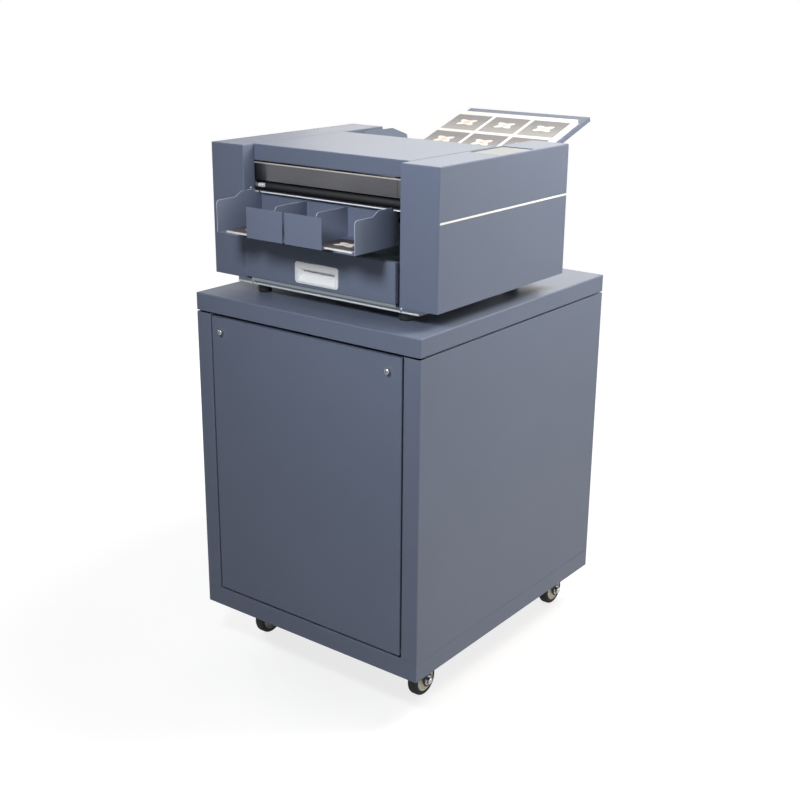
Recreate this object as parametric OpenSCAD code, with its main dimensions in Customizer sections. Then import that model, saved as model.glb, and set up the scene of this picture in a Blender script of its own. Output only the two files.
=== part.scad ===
// Sheet-fed card cutter standing on its castored steel cabinet.
// Frame: +Z up, -Y towards the operator, origin on the floor under the cabinet's centre. Millimetres.
// Machine pieces are drawn above the cabinet's top face, the deck.

/* [Cabinet] */
// Width of the cabinet
cabinet_w = 600; // [560:1:680]
// Depth of the cabinet
cabinet_d = 710; // [660:1:800]
// Height of the base tray
plinth_h = 43; // [34:1:60]
// Height of the wrapped body between base tray and top slab
body_h = 654; // [500:1:800]
// Height of the top slab
slab_h = 38; // [30:1:50]
// Shadow gap under the slab
shadow_gap = 4; // [3:0.5:8]
// Sheet thickness of the cabinet
cabinet_sheet = 1.5; // [1:0.1:2]
// Outer radius of the cabinet's bent edges
cabinet_edge_r = 3; // [2.4:0.1:5]
// Width of the folded flanges inside the cabinet
flange_w = 25; // [18:1:32]
// Width of each front frame strip beside the door
strip_w = 40; // [32:1:60]
// Depth of the folded returns of the strips
strip_return = 18; // [12:1:24]

/* [Door] */
// Gap between the door and each frame strip
door_side_gap = 4; // [2.5:0.5:6]
// Gap above the door
door_top_gap = 8; // [5:0.5:12]
// Gap below the door
door_bottom_gap = 5; // [4.5:0.5:10]
// Depth of the door's folded edges
door_return = 20; // [18:1:26]
// Distance of the pivot from the door's front face and lower edge
pivot_inset = 8; // [7.5:0.5:9.5]
// Radius of the pivot pins
pivot_r = 3; // [2:0.5:4]
// Distance of each lock from the door's side edge
lock_inset = 31; // [24:1:70]
// Distance of the locks below the slab's top face
lock_drop = 76; // [66:1:120]
// Outer radius of a lock barrel
lock_r = 7; // [6.5:0.5:10]
// How far a lock barrel stands in front of the door
lock_proud = 9; // [6:1:14]

/* [Castors] */
// Height of a castor, floor to mounting face
castor_h = 108; // [102:1:125]
// Swivel axis from the middle plane, sideways
castor_x = 226; // [180:1:240]
// Swivel axis from the middle plane, front and back
castor_y = 272; // [200:1:290]
// Wheel diameter
wheel_d = 75; // [65:1:78]
// Wheel width
wheel_w = 24; // [20:1:28]
// Trail of the wheel behind the swivel axis
castor_trail = 38; // [34:1:42]
// Radius of the wheel's axle
axle_r = 4; // [3:0.5:5]
// Width of a castor's mounting plate
castor_plate_w = 82; // [70:1:90]
// Depth of a castor's mounting plate
castor_plate_d = 62; // [54:1:70]
// Thickness of a castor's mounting plate
castor_plate_t = 3; // [2:0.5:4]

/* [Machine body] */
// Width over the side covers
machine_w = 592; // [540:1:600]
// Depth over the side covers
machine_d = 470; // [460:1:520]
// Distance of the machine's front behind the cabinet's front
machine_setback = 58; // [40:1:80]
// Height of the covers' top above the deck
machine_top = 314; // [310:1:340]
// Height of the covers' lower edge above the deck
cover_lift = 35; // [33:1:40]
// Width of each side cover
column_w = 92; // [88:1:98]
// Sheet thickness of the covers
cover_sheet = 1.5; // [1:0.1:2]
// Outer radius of the covers' bent edges
cover_edge_r = 2.5; // [2.2:0.1:4]
// Distance of the top cover's lip behind the columns' front
lip_setback = 33; // [32:1:40]
// Height of the top cover's lip
lip_h = 34; // [30:1:36]
// Rear edge of the top cover, behind the columns' front
top_cover_d = 327; // [322:1:332]
// Height of the base plate's lower lip edge above the deck
base_lift = 20; // [16:1:21]
// Depth of the base plate's lip
base_lip = 11; // [8:1:11]
// Half width of the base plate
base_x = 242; // [230:1:260]
// Thickness of the base plate
base_sheet = 2; // [1.5:0.1:3]
// Diameter of a rubber foot
foot_d = 30; // [24:1:36]
// Feet from the middle plane
foot_x = 191; // [170:1:215]
// Thickness of the side frames
frame_t = 5; // [4:0.5:6]

/* [Touch panel] */
// Size of the recess in the right cover, sideways
recess_w = 77; // [70:1:78]
// Size of the recess, front to back
recess_d = 125; // [110:1:140]
// Depth of the recess
recess_depth = 9; // [7:0.5:9.5]
// Rear edge of the recess behind the columns' front
recess_back = 342; // [330:1:360]
// Rim left around the panel in the recess
panel_rim = 3; // [2:0.5:6]
// Thickness of the panel
panel_t = 4; // [3:0.5:5]

/* [Paper path] */
// Height of the paper plane above the deck
paper_z = 236; // [232:0.5:240]
// Radius of the feed and exit rollers
roller_r = 9; // [8:0.5:9.5]
// Radius of the rollers' shafts
roller_shaft_r = 3.5; // [3:0.5:4.5]
// Gap in the roller nips
nip_gap = 0.6; // [0.4:0.1:1]
// Exit rollers behind the columns' front
exit_y = 48; // [47:1:52]
// Half length of the exit sleeve
exit_sleeve_x = 181; // [170:1:195]
// Knife shafts behind the columns' front
knife_y = 207; // [204:1:212]
// Feed rollers behind the columns' front
feed_y = 285; // [280:1:288]
// Radius of a slitting knife
knife_r = 25; // [24.5:0.1:25.4]
// Radial overlap of the knives
knife_lap = 1; // [0.5:0.1:1.5]
// Width of a slitting knife
knife_w = 2.5; // [2:0.1:2.6]
// Width of a cut card
card_w = 98; // [90:1:100]
// Length of a cut card
card_l = 86; // [60:1:90]
// Gutter between two card columns
gutter = 10; // [6:1:12]
// Radius of the knife shafts
knife_shaft_r = 8; // [6:0.5:9]

/* [Drive] */
// Teeth of a knife gear
gear_teeth = 24; // [24:4:24]
// Width of the knife gears
gear_w = 8; // [6:1:9]
// Radius of the pulleys
pulley_r = 14; // [12:0.5:15]
// Width of a belt track
track_w = 5; // [4:0.5:6]
// Belt thickness
belt_t = 1.2; // [1:0.1:1.5]
// Height of the drive motor's shaft above the deck
motor_z = 110; // [95:1:120]
// Size of the square drive motor
motor_size = 57; // [50:1:60]
// Throw of the blade crank
crank_throw = 10; // [9:0.5:11]
// Crank angle above the level at rest, equal to the angle below it at the end of the cut
crank_half = 25; // [20:1:26]
// Cross blade behind the columns' front
blade_y = 127; // [124:1:130]

/* [Waste drawer] */
// Height of the drawer front
drawer_h = 84; // [78:1:90]
// How far the drawer front stands in front of the columns
drawer_proud = 7.5; // [4:0.5:9]
// Depth of the drawer front's folded edges
drawer_fold = 12; // [10:1:14]
// Gap between the drawer front and each column
drawer_gap = 4.5; // [2:0.5:6]
// Lower edge of the drawer front above the deck
drawer_z = 40; // [37:1:42]
// Length of the drawer box
drawer_l = 385; // [330:1:410]
// Height of the drawer box
box_h = 80; // [70:1:84]
// Sheet thickness of the drawer
drawer_sheet = 1.5; // [1:0.1:2]
// Width of the cup pull
pull_w = 115; // [95:1:125]
// Height of the cup pull
pull_h = 45; // [40:1:48]
// Lower edge of the cup pull above the deck
pull_z = 48; // [46:1:54]

/* [Card tray] */
// Half width of the card tray
tray_x = 180; // [165:1:190]
// Reach of the card tray in front of the columns
tray_reach = 105; // [90:1:120]
// Height of the tray floor's upper face above the deck
tray_z = 151.5; // [140:0.5:160]
// Height of the front stops and dividers above the floor
stop_h = 60; // [45:1:62]
// Height of the side plates at the front
side_h = 64; // [50:1:66]
// Extra height of the side plates at the back
side_step = 10; // [6:1:14]
// Middle of each divider from the middle plane
divider_x = 54; // [50:1:62]
// Gap between a divider's front edge and the stops
divider_gap = 36; // [28:1:45]
// Half of the gap between the two stops
stop_gap_half = 3.5; // [2:0.5:6]
// Width of a front stop
stop_w = 94.5; // [80:0.5:100]
// Width of the finger notch beside each stop
notch_w = 29; // [20:1:35]
// Sheet thickness of the tray
tray_sheet = 1.5; // [1:0.1:2]
// Thickness of a stack of cut cards
card_stack = 4; // [2:0.5:12]
// Height of the exit guide above the tray's floor
guide_rise = 67; // [62:1:70]
// Reach of the exit guide in front of the lip
exit_reach = 17; // [12:1:20]

/* [Feed side] */
// Half width of the feed tray
feed_x = 169; // [166.5:0.5:175]
// Rear edge of the feed tray behind the machine's back
feed_reach = 314; // [260:1:340]
// Slope of the feed tray
feed_slope = 18; // [14:0.5:22]
// Depth of the feed tray's folded edges
feed_fold = 10; // [7:1:14]
// Sheet thickness of the feed side
feed_sheet = 1.5; // [1:0.1:2]
// Half width of the printed sheet
sheet_x = 164; // [150:1:165]
// Length of the printed sheet
sheet_l = 456; // [430:1:487]
// Thickness of the stack of sheets
sheet_stack = 11; // [2:0.5:14]
// Gap between the sheet and each side guide
guide_gap = 1.5; // [0.5:0.5:3]
// Thickness of a side guide
guide_t = 2; // [1.5:0.5:3]
// Rear end of a side guide behind the machine's back
guide_reach = 45; // [30:1:60]

/* [Electrics] */
// Middle of the power inlet from the middle plane
inlet_x = -150; // [-165:1:-60]
// Height of the inlet's middle above the rear panel's lower edge
inlet_rise = 42; // [36:1:60]
// Width of the power supply, out from the frame
supply_w = 50; // [40:1:60]
// Length of the power supply
supply_l = 165; // [140:1:180]
// Height of the power supply
supply_h = 115; // [90:1:125]

/* [Hidden] */
$fn = 48;
// Clearances
seat_gap = 0.3;
run_gap = 0.05;
press_gap = 0.02;
cut = 1;
bend_steps = 4;
// Heights in the cabinet
plinth_z = castor_h;
body_z = plinth_z + plinth_h;
slab_z = body_z + body_h;
deck_z = slab_z + slab_h;
body_top_z = slab_z - shadow_gap;
// Places in the machine, on the deck
front_y = -cabinet_d / 2 + machine_setback;
rear_y = front_y + machine_d;
lip_y = front_y + lip_setback;
throat_y = front_y + top_cover_d;
inner_x = machine_w / 2 - column_w;
frame_x = inner_x + cover_sheet + seat_gap;
frame_out = frame_x + frame_t;
guard_gap = 1.2;
guard_t = 1.2;
guard_plate_t = 0.8;
frame_front = lip_y + guard_gap + guard_plate_t + guard_t + seat_gap;
frame_back = rear_y - 8;
frame_top = machine_top - 14;
base_top = base_lift + base_lip;
lip_z = machine_top - lip_h;
panel_fit = inner_x - seat_gap;
// Rollers and knives
exit_c = [front_y + exit_y, paper_z - roller_r];
exit_pinch_c = [exit_c[0], paper_z + nip_gap + roller_r];
feed_c = [front_y + feed_y, paper_z - roller_r];
feed_pinch_c = [feed_c[0], paper_z + nip_gap + roller_r];
gear_pitch_r = knife_r - knife_lap;
knife_c = [front_y + knife_y, paper_z - gear_pitch_r];
knife_top_c = [knife_c[0], paper_z + gear_pitch_r];
motor_c = [knife_c[0], motor_z];
slits = [-1.5 * card_w - gutter, -card_w / 2 - gutter, -card_w / 2,
         card_w / 2, card_w / 2 + gutter, 1.5 * card_w + gutter];
// Belt tracks on the left, counted outwards from the frame
gear_x = frame_out + 2;
track_step = track_w + 1.5;
track_x = gear_x + gear_w + 3;
motor_face = track_x + 3 * track_step + 2;
// Cross blade and its crank
blade_c = front_y + blade_y;
blade_stroke = 2 * crank_throw * sin(crank_half);
carrier_w = 8;
carrier_h = 16;
carrier_z = paper_z + 10;
crank_pin_r = 3;
carrier_mid = [blade_c + carrier_w / 2, carrier_z + carrier_h / 2];
crank_c = carrier_mid - crank_throw * [1, sin(crank_half)];
yoke_x = frame_out + 1.5;
yoke_t = 5;
crank_disc_x = yoke_x + yoke_t + 1;
crank_disc_t = 5;
// Top cover hinge
hinge_c = [throat_y - 6, frame_top - 8];
hinge_r = 4;
ear_x = inner_x - 3.5;
// Waste drawer
drawer_x = inner_x - drawer_gap;
box_x = drawer_x - 7.5;
box_z = base_top + seat_gap;
drawer_y = front_y - drawer_proud;
box_front = drawer_y + drawer_fold;
cup_x = pull_w / 2 - 5;
cup_z = pull_z + 4;
cup_top = pull_z + pull_h - 4;
// Card tray
tray_front = front_y - tray_reach;
guide_z = tray_z + guide_rise;
guide_front = lip_y - exit_reach;
back_y = lip_y - 5;
divider_front = tray_front + divider_gap;
side_back = front_y + 7;
// Feed side
table_z = paper_z - 0.5;
table_front = feed_c[0] + 18;
ramp_y = rear_y + seat_gap + feed_sheet;
feed_end = rear_y + feed_reach;
tray_foot = 24;
function ramp_z(y) = table_z + (y - ramp_y) * tan(feed_slope);
guide_x = sheet_x + guide_gap;
guide_front_y = throat_y + 24;
// Rear panel, inlet and switch
rear_z = base_top + 5;
inlet_c = [inlet_x, rear_z + inlet_rise];
inlet_w = 58;
inlet_h = 50;
rocker_r = 9;
rocker_w = 27;
rocker_pin_r = 2;
rocker_pin_l = 32;

paint = "slategray";
dark_steel = "dimgray";
bright_steel = "silver";
black_rubber = "#222222";
white_plastic = "whitesmoke";

// Bent sheet: both sides of a strip that follows centre-line points, with rounded bends
function unit(v) = v / norm(v);
function left_of(v) = [-v[1], v[0]];
function bent_side(p, r, off) = [
  for (i = [0 : len(p) - 1])
    if (i == 0) p[0] + left_of(unit(p[1] - p[0])) * off
    else if (i == len(p) - 1) p[i] + left_of(unit(p[i] - p[i - 1])) * off
    else let (
        a = unit(p[i] - p[i - 1]),
        b = unit(p[i + 1] - p[i]),
        turn = cross(a, b) > 0 ? 1 : -1,
        half = acos(a * b) / 2,
        c = p[i] - a * r * tan(half) + left_of(a) * turn * r,
        start = atan2(-turn * left_of(a)[1], -turn * left_of(a)[0]))
      for (k = [0 : bend_steps])
        let (w = start + turn * 2 * half * k / bend_steps)
          c + (r - turn * off) * [cos(w), sin(w)]
];
function reversed(v) = [for (i = [len(v) - 1 : -1 : 0]) v[i]];

module bent_strip(p, t, r) {
  polygon(concat(bent_side(p, r, t / 2), reversed(bent_side(p, r, -t / 2))));
}

module rounded_rect(size, r) {
  square([size[0], size[1] - 2 * r], center = true);
  square([size[0] - 2 * r, size[1]], center = true);
  for (sx = [-1, 1], sy = [-1, 1])
    translate([sx * (size[0] / 2 - r), sy * (size[1] / 2 - r)]) circle(r);
}

module arch(w, h, r) {
  translate([-w / 2, 0]) square([w, h - r]);
  translate([r - w / 2, 0]) square([w - 2 * r, h]);
  for (s = [-1, 1]) translate([s * (w / 2 - r), h - r]) circle(r);
}

// Profile in Y and Z, extruded along X from x0 to x1
module along_x(x0, x1) {
  translate([x0, 0, 0]) rotate([90, 0, 90]) linear_extrude(x1 - x0) children();
}

// Round bar along X through a point given in Y and Z
module bar_x(c, r, x0, x1) {
  translate([x0, c[0], c[1]]) rotate([0, 90, 0]) cylinder(r = r, h = x1 - x0);
}

module box(lo, hi) {
  translate(lo) cube(hi - lo);
}

// Box on z = 0 with its upright and upper edges rounded
module soft_box(size, r) {
  intersection() {
    linear_extrude(size[2]) rounded_rect([size[0], size[1]], r);
    translate([0, size[1] / 2, 0]) rotate([90, 0, 0]) linear_extrude(size[1]) arch(size[0], size[2], r);
    along_x(-size[0] / 2, size[0] / 2) arch(size[1], size[2], r);
  }
}

module on_deck() {
  translate([0, 0, deck_z]) children();
}

module both_sides() {
  children();
  mirror([1, 0, 0]) children();
}

// Cabinet
module cabinet_base() {
  floor_t = 2;
  color(paint) translate([0, 0, plinth_z]) difference() {
    soft_box([cabinet_w, cabinet_d, plinth_h], cabinet_edge_r);
    translate([0, 0, floor_t]) linear_extrude(plinth_h - 2 * floor_t)
      square([cabinet_w - 2 * cabinet_sheet, cabinet_d - 2 * cabinet_sheet], center = true);
    translate([0, 0, plinth_h - floor_t - cut]) linear_extrude(floor_t + 2 * cut)
      square([cabinet_w - 2 * flange_w, cabinet_d - 2 * flange_w], center = true);
  }
}

// Half of the body's plan, from the strip's return to the middle of the back
function body_half(s) = let (
    t = cabinet_sheet / 2,
    x = cabinet_w / 2 - t,
    y = cabinet_d / 2 - t,
    inner = cabinet_w / 2 - strip_w + t)
  [[s * inner, -y + strip_return], [s * inner, -y], [s * x, -y], [s * x, y]];

module cabinet_body() {
  bend = cabinet_edge_r - cabinet_sheet / 2;
  flange_front = cabinet_d / 2 - strip_return - cabinet_sheet;
  color(paint) {
    translate([0, 0, body_z]) linear_extrude(body_top_z - body_z)
      bent_strip(concat(body_half(-1), reversed(body_half(1))), cabinet_sheet, bend);
    for (z = [body_z, body_top_z - cabinet_sheet])
      translate([0, 0, z]) linear_extrude(cabinet_sheet) difference() {
        translate([-cabinet_w / 2 + cabinet_sheet, -flange_front])
          square([cabinet_w - 2 * cabinet_sheet, flange_front + cabinet_d / 2 - cabinet_sheet]);
        translate([-cabinet_w / 2 + flange_w, -cabinet_d / 2])
          square([cabinet_w - 2 * flange_w, cabinet_d - flange_w]);
      }
  }
}

module cabinet_top() {
  top_t = 2;
  spacer_w = flange_w / 2;
  color(paint) {
    translate([0, 0, slab_z]) difference() {
      soft_box([cabinet_w, cabinet_d, slab_h], cabinet_edge_r);
      translate([0, 0, cabinet_sheet]) linear_extrude(slab_h - top_t - cabinet_sheet)
        square([cabinet_w - 2 * cabinet_sheet, cabinet_d - 2 * cabinet_sheet], center = true);
      translate([0, 0, -cut]) linear_extrude(2 * cut + cabinet_sheet)
        square([cabinet_w - 2 * flange_w, cabinet_d - 2 * flange_w], center = true);
    }
    for (s = [-1, 1])
      translate([s * (cabinet_w / 2 - flange_w + spacer_w / 2), 0, body_top_z])
        linear_extrude(shadow_gap) square([spacer_w, cabinet_d - 4 * flange_w], center = true);
  }
}

door_w = cabinet_w - 2 * strip_w - 2 * door_side_gap;
door_z = body_z + door_bottom_gap;
door_top = slab_z - door_top_gap;
pivot_c = [-cabinet_d / 2 + pivot_inset, door_z + pivot_inset];
lock_x = door_w / 2 - lock_inset;
lock_z = deck_z - lock_drop;

module cabinet_door() {
  t = cabinet_sheet;
  color(paint) difference() {
    translate([0, -cabinet_d / 2, door_z]) union() {
      linear_extrude(door_top - door_z) bent_strip(
        [[-door_w / 2 + t / 2, door_return], [-door_w / 2 + t / 2, t / 2],
         [door_w / 2 - t / 2, t / 2], [door_w / 2 - t / 2, door_return]],
        t, cabinet_edge_r - t / 2);
      for (z = [0, door_top - door_z - t])
        translate([-door_w / 2 + t, t, z]) cube([door_w - 2 * t, door_return - t, t]);
    }
    bar_x(pivot_c, pivot_r + run_gap, -door_w / 2 - cut, door_w / 2 + cut);
    for (s = [-1, 1])
      translate([s * lock_x, -cabinet_d / 2 - cut, lock_z]) rotate([-90, 0, 0])
        cylinder(r = lock_neck_r + seat_gap, h = t + 2 * cut);
  }
}

module door_pins() {
  shoulder = cabinet_w / 2 - strip_w;
  color(bright_steel) both_sides() {
    bar_x(pivot_c, pivot_r, door_w / 2 - 8, shoulder);
  }
}

lock_body = 22;
lock_neck_r = lock_r - 1.5;
plug_r = lock_r - 3;
module lock_barrels() {
  y = -cabinet_d / 2;
  color(bright_steel) for (s = [-1, 1])
    translate([s * lock_x, y, lock_z]) rotate([-90, 0, 0]) difference() {
      union() {
        translate([0, 0, -lock_proud]) cylinder(r = lock_r, h = lock_proud);
        cylinder(r = lock_neck_r, h = lock_body);
      }
      translate([0, 0, -lock_proud - cut])
        cylinder(r = plug_r + run_gap, h = lock_proud + lock_body + 2 * cut);
    }
}

module lock_cam(s) {
  y = -cabinet_d / 2;
  cam_lap = 8;
  cam_l = cabinet_w / 2 - strip_w - lock_x + cam_lap;
  cam_w = 10;
  cam_t = 2.5;
  plug_proud = lock_proud + 0.5;
  key_w = 1.6;
  key_h = 5;
  color(bright_steel) translate([s * lock_x, y, lock_z]) difference() {
    union() {
      rotate([-90, 0, 0]) translate([0, 0, -plug_proud])
        cylinder(r = plug_r, h = plug_proud + lock_body + seat_gap + cam_t);
      translate([-cam_w / 2, lock_body + seat_gap, -cam_l]) cube([cam_w, cam_t, cam_l + cam_w / 2]);
    }
    translate([-key_w / 2, -plug_proud - cut, -key_h / 2]) cube([key_w, key_h, key_h]);
  }
}

module lock_cam_left() { lock_cam(-1); }
module lock_cam_right() { lock_cam(1); }

// Castors
race_h = 9;
crown_h = 10;
kingpin_r = 5;
fork_t = 3;
fork_x = wheel_w / 2 + 2;
crown_z = castor_h - race_h - seat_gap;

module castor_at(sx, sy) {
  translate([sx * castor_x, sy * castor_y, 0]) children();
}

module castor_plates() {
  head_r = 9;
  head_h = 3;
  corner = 6;
  color(bright_steel) for (sx = [-1, 1], sy = [-1, 1]) castor_at(sx, sy) {
    translate([0, 0, castor_h - castor_plate_t]) linear_extrude(castor_plate_t)
      rounded_rect([castor_plate_w, castor_plate_d], corner);
    translate([0, 0, castor_h - race_h]) cylinder(r1 = 20, r2 = 25, h = race_h - castor_plate_t);
    translate([0, 0, crown_z - crown_h - seat_gap - head_h]) {
      cylinder(r = kingpin_r, h = crown_h + race_h + head_h);
      cylinder(r = head_r, h = head_h);
    }
  }
}

module castor_fork() {
  axle_z = wheel_d / 2;
  boss_r = 11;
  crown_r = 25;
  nut_h = 5.5;
  nut_r = 7;
  leg_out = fork_x + fork_t;
  color("#1c1c1c") {
    difference() {
      union() {
        translate([0, 0, crown_z - crown_h]) cylinder(r = crown_r, h = crown_h);
        both_sides() along_x(fork_x, leg_out) {
          polygon([[-17, crown_z - 2], [18, crown_z - 2], [18, crown_z - crown_h],
                   [castor_trail + boss_r - 1, axle_z + 4], [castor_trail, axle_z - boss_r + 0.5],
                   [castor_trail - boss_r + 1, axle_z - 4], [-17, crown_z - crown_h]]);
          translate([castor_trail, axle_z]) circle(boss_r);
        }
      }
      translate([0, 0, crown_z - crown_h - cut]) cylinder(r = kingpin_r + run_gap, h = crown_h + 2 * cut);
    }
    bar_x([castor_trail, axle_z], axle_r, -leg_out - 1, leg_out + 1);
    for (x = [-leg_out - nut_h, leg_out])
      translate([x, castor_trail, axle_z]) rotate([0, 90, 0]) cylinder(r = nut_r, h = nut_h, $fn = 6);
  }
}

module castor_wheel() {
  hub_r = 13;
  web_w = 10;
  rim_r = wheel_d / 2 - 9;
  tread_r = 5;
  color("#2a2a28") translate([0, castor_trail, wheel_d / 2]) rotate([0, 90, 0]) rotate_extrude($fn = 96)
    difference() {
      union() {
        translate([0, -wheel_w / 2]) square([hub_r, wheel_w]);
        translate([0, -web_w / 2]) square([rim_r + 1, web_w]);
        translate([rim_r, -wheel_w / 2]) square([wheel_d / 2 - tread_r - rim_r, wheel_w]);
        translate([rim_r, -wheel_w / 2 + tread_r]) square([wheel_d / 2 - rim_r, wheel_w - 2 * tread_r]);
        for (s = [-1, 1])
          translate([wheel_d / 2 - tread_r, s * (wheel_w / 2 - tread_r)]) circle(tread_r);
      }
      translate([-cut, -wheel_w]) square([axle_r + run_gap + cut, 2 * wheel_w]);
    }
}

module castor_fork_fl() { castor_at(-1, -1) castor_fork(); }
module castor_fork_fr() { castor_at(1, -1) castor_fork(); }
module castor_fork_rl() { castor_at(-1, 1) castor_fork(); }
module castor_fork_rr() { castor_at(1, 1) castor_fork(); }
module castor_wheel_fl() { castor_at(-1, -1) castor_wheel(); }
module castor_wheel_fr() { castor_at(1, -1) castor_wheel(); }
module castor_wheel_rl() { castor_at(-1, 1) castor_wheel(); }
module castor_wheel_rr() { castor_at(1, 1) castor_wheel(); }

// Machine base and frames
module machine_feet() {
  inset = 42;
  foot_h = base_top - base_sheet;
  tread_h = 4;
  waist_h = 16;
  color(black_rubber) on_deck()
    for (x = [-foot_x, foot_x], y = [front_y + inset, rear_y - inset])
      translate([x, y, 0]) {
        cylinder(r1 = foot_d / 2 - 1, r2 = foot_d / 2, h = tread_h);
        translate([0, 0, tread_h]) cylinder(r = foot_d / 2, h = waist_h - tread_h);
        translate([0, 0, waist_h]) cylinder(r1 = foot_d / 2, r2 = foot_d / 2 - 4, h = foot_h - waist_h);
      }
}

// Base plate with folded edges; the front one ends in a rolled bead
module base_plate() {
  front = front_y + 15;
  back = rear_y - 3;
  bead_r = 2;
  color("lightgray") on_deck() {
    difference() {
      box([-base_x, front, base_lift], [base_x, back, base_top]);
      box([-base_x + base_sheet, front + base_sheet, base_lift - cut],
          [base_x - base_sheet, back - base_sheet, base_top - base_sheet]);
    }
    bar_x([front + bead_r / 2, base_lift + bead_r], bead_r, -base_x, base_x);
  }
}

module side_frame(s) {
  slot_gap = 0.4;
  color(dark_steel) on_deck() difference() {
    box([s > 0 ? frame_x : -frame_out, frame_front, base_top],
        [s > 0 ? frame_out : -frame_x, frame_back, frame_top]);
    for (c = [exit_c, exit_pinch_c, feed_c, feed_pinch_c])
      bar_x(c, roller_shaft_r + run_gap, s * frame_x - 10, s * frame_x + 10);
    for (c = [knife_c, knife_top_c])
      bar_x(c, knife_shaft_r + run_gap, s * frame_x - 10, s * frame_x + 10);
    bar_x(hinge_c, hinge_r + press_gap, s * frame_x - 10, s * frame_x + 10);
    box([s * frame_x - 10, blade_c - slot_gap, carrier_z - blade_stroke - slot_gap],
        [s * frame_x + 10, blade_c + carrier_w + slot_gap, carrier_z + carrier_h + slot_gap]);
  }
}

module left_frame() { side_frame(-1); }
module right_frame() { side_frame(1); }

// Side cover as the right-hand one: open below, and open inwards between the lip and the throat
module side_cover() {
  t = cover_sheet;
  x0 = inner_x;
  x1 = machine_w / 2;
  inner_wall_z = table_z - 8;
  difference() {
    translate([(x0 + x1) / 2, (front_y + rear_y) / 2, cover_lift])
      soft_box([column_w, machine_d, machine_top - cover_lift], cover_edge_r);
    box([x0 + t, front_y + t, cover_lift - cut], [x1 - t, rear_y - t, machine_top - t]);
    box([x0 - cut, lip_y, cover_lift - cut], [x0 + t + cut, throat_y, machine_top - t]);
    box([x0 - cut, throat_y - cut, cover_lift - cut], [x0 + t + cut, rear_y - t, inner_wall_z]);
  }
}

module left_cover() {
  color(paint) on_deck() mirror([1, 0, 0]) side_cover();
}

recess_x = inner_x + 7.5;
recess_y = front_y + recess_back - recess_d;
module right_cover() {
  t = cover_sheet;
  floor_z = machine_top - recess_depth;
  color(paint) on_deck() difference() {
    union() {
      side_cover();
      box([recess_x - t, recess_y - t, floor_z - t],
          [recess_x + recess_w + t, recess_y + recess_d + t, machine_top - t]);
    }
    box([recess_x, recess_y, floor_z], [recess_x + recess_w, recess_y + recess_d, machine_top + cut]);
  }
}

module touch_panel() {
  floor_z = machine_top - recess_depth;
  w = recess_w - 2 * panel_rim;
  d = recess_d - 2 * panel_rim;
  bezel = 6;
  glass_drop = 0.6;
  color(white_plastic) on_deck()
    translate([recess_x + recess_w / 2, recess_y + recess_d / 2, floor_z]) difference() {
      linear_extrude(panel_t) rounded_rect([w, d], 4);
      translate([0, 0, panel_t - glass_drop]) linear_extrude(glass_drop + cut)
        rounded_rect([w - 2 * bezel, d - 2 * bezel], 2);
    }
}

module top_cover() {
  t = cover_sheet;
  x = panel_fit - 0.4;
  ear_h = 18;
  ear_low = hinge_c[1] - 10;
  color(paint) on_deck() difference() {
    union() {
      along_x(-x, x) bent_strip(
        [[lip_y + 6, lip_z + t / 2], [lip_y + t / 2, lip_z + t / 2], [lip_y + t / 2, machine_top - t / 2],
         [throat_y - t / 2, machine_top - t / 2], [throat_y - t / 2, machine_top - 12]],
        t, cover_edge_r - t / 2);
      both_sides() along_x(ear_x - t, ear_x) polygon([
        [lip_y + t + 1, machine_top - t], [lip_y + t + 1, machine_top - ear_h],
        [hinge_c[0] - 24, machine_top - ear_h], [hinge_c[0] - 10, ear_low], [hinge_c[0] + 4, ear_low],
        [hinge_c[0] + 4, machine_top - t]]);
    }
    bar_x(hinge_c, hinge_r + run_gap, -inner_x, inner_x);
  }
}

module cover_pins() {
  color(bright_steel) on_deck() both_sides() {
    bar_x(hinge_c, hinge_r, ear_x - cover_sheet - 4, frame_out);
    bar_x(hinge_c, hinge_r + 3, frame_out, frame_out + 3);
  }
}

module rear_panel() {
  t = cover_sheet;
  vent_w = 4;
  vent_h = 46;
  vent_pitch = 10;
  vents = 12;
  color(paint) on_deck() difference() {
    box([-panel_fit, rear_y - t, rear_z], [panel_fit, rear_y, table_z - feed_sheet]);
    for (i = [0 : vents - 1])
      translate([20 + i * vent_pitch, rear_y - t - cut, rear_z + 34]) cube([vent_w, t + 2 * cut, vent_h]);
    box([inlet_c[0] - inlet_w / 2, rear_y - t - cut, inlet_c[1] - inlet_h / 2],
        [inlet_c[0] + inlet_w / 2, rear_y + cut, inlet_c[1] + inlet_h / 2]);
  }
}

// Exit side
module exit_guard() {
  y1 = frame_front - seat_gap;
  main_x = exit_sleeve_x - 10;
  z0 = paper_z + 4;
  z1 = lip_z - 3;
  color(dark_steel) on_deck() {
    box([-frame_out + 1, y1 - guard_t, z0], [frame_out - 1, y1, z1]);
    box([-main_x, y1 - guard_t - guard_plate_t, z0], [main_x, y1 - guard_t, z1]);
  }
}

module exit_guide() {
  t = 1.5;
  x = panel_fit - 0.3;
  tab_h = 12;
  notch_x = exit_sleeve_x - 13;
  color("gainsboro") on_deck() {
    difference() {
      box([-x, guide_front, guide_z], [x, lip_y + 2, guide_z + t]);
      both_sides() box([notch_x, guide_front - cut, guide_z - cut],
                       [notch_x + 6, guide_front + 8, guide_z + t + cut]);
    }
    both_sides() box([x - t, guide_front - 9, guide_z], [x, back_y, guide_z + tab_h]);
  }
}

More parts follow.
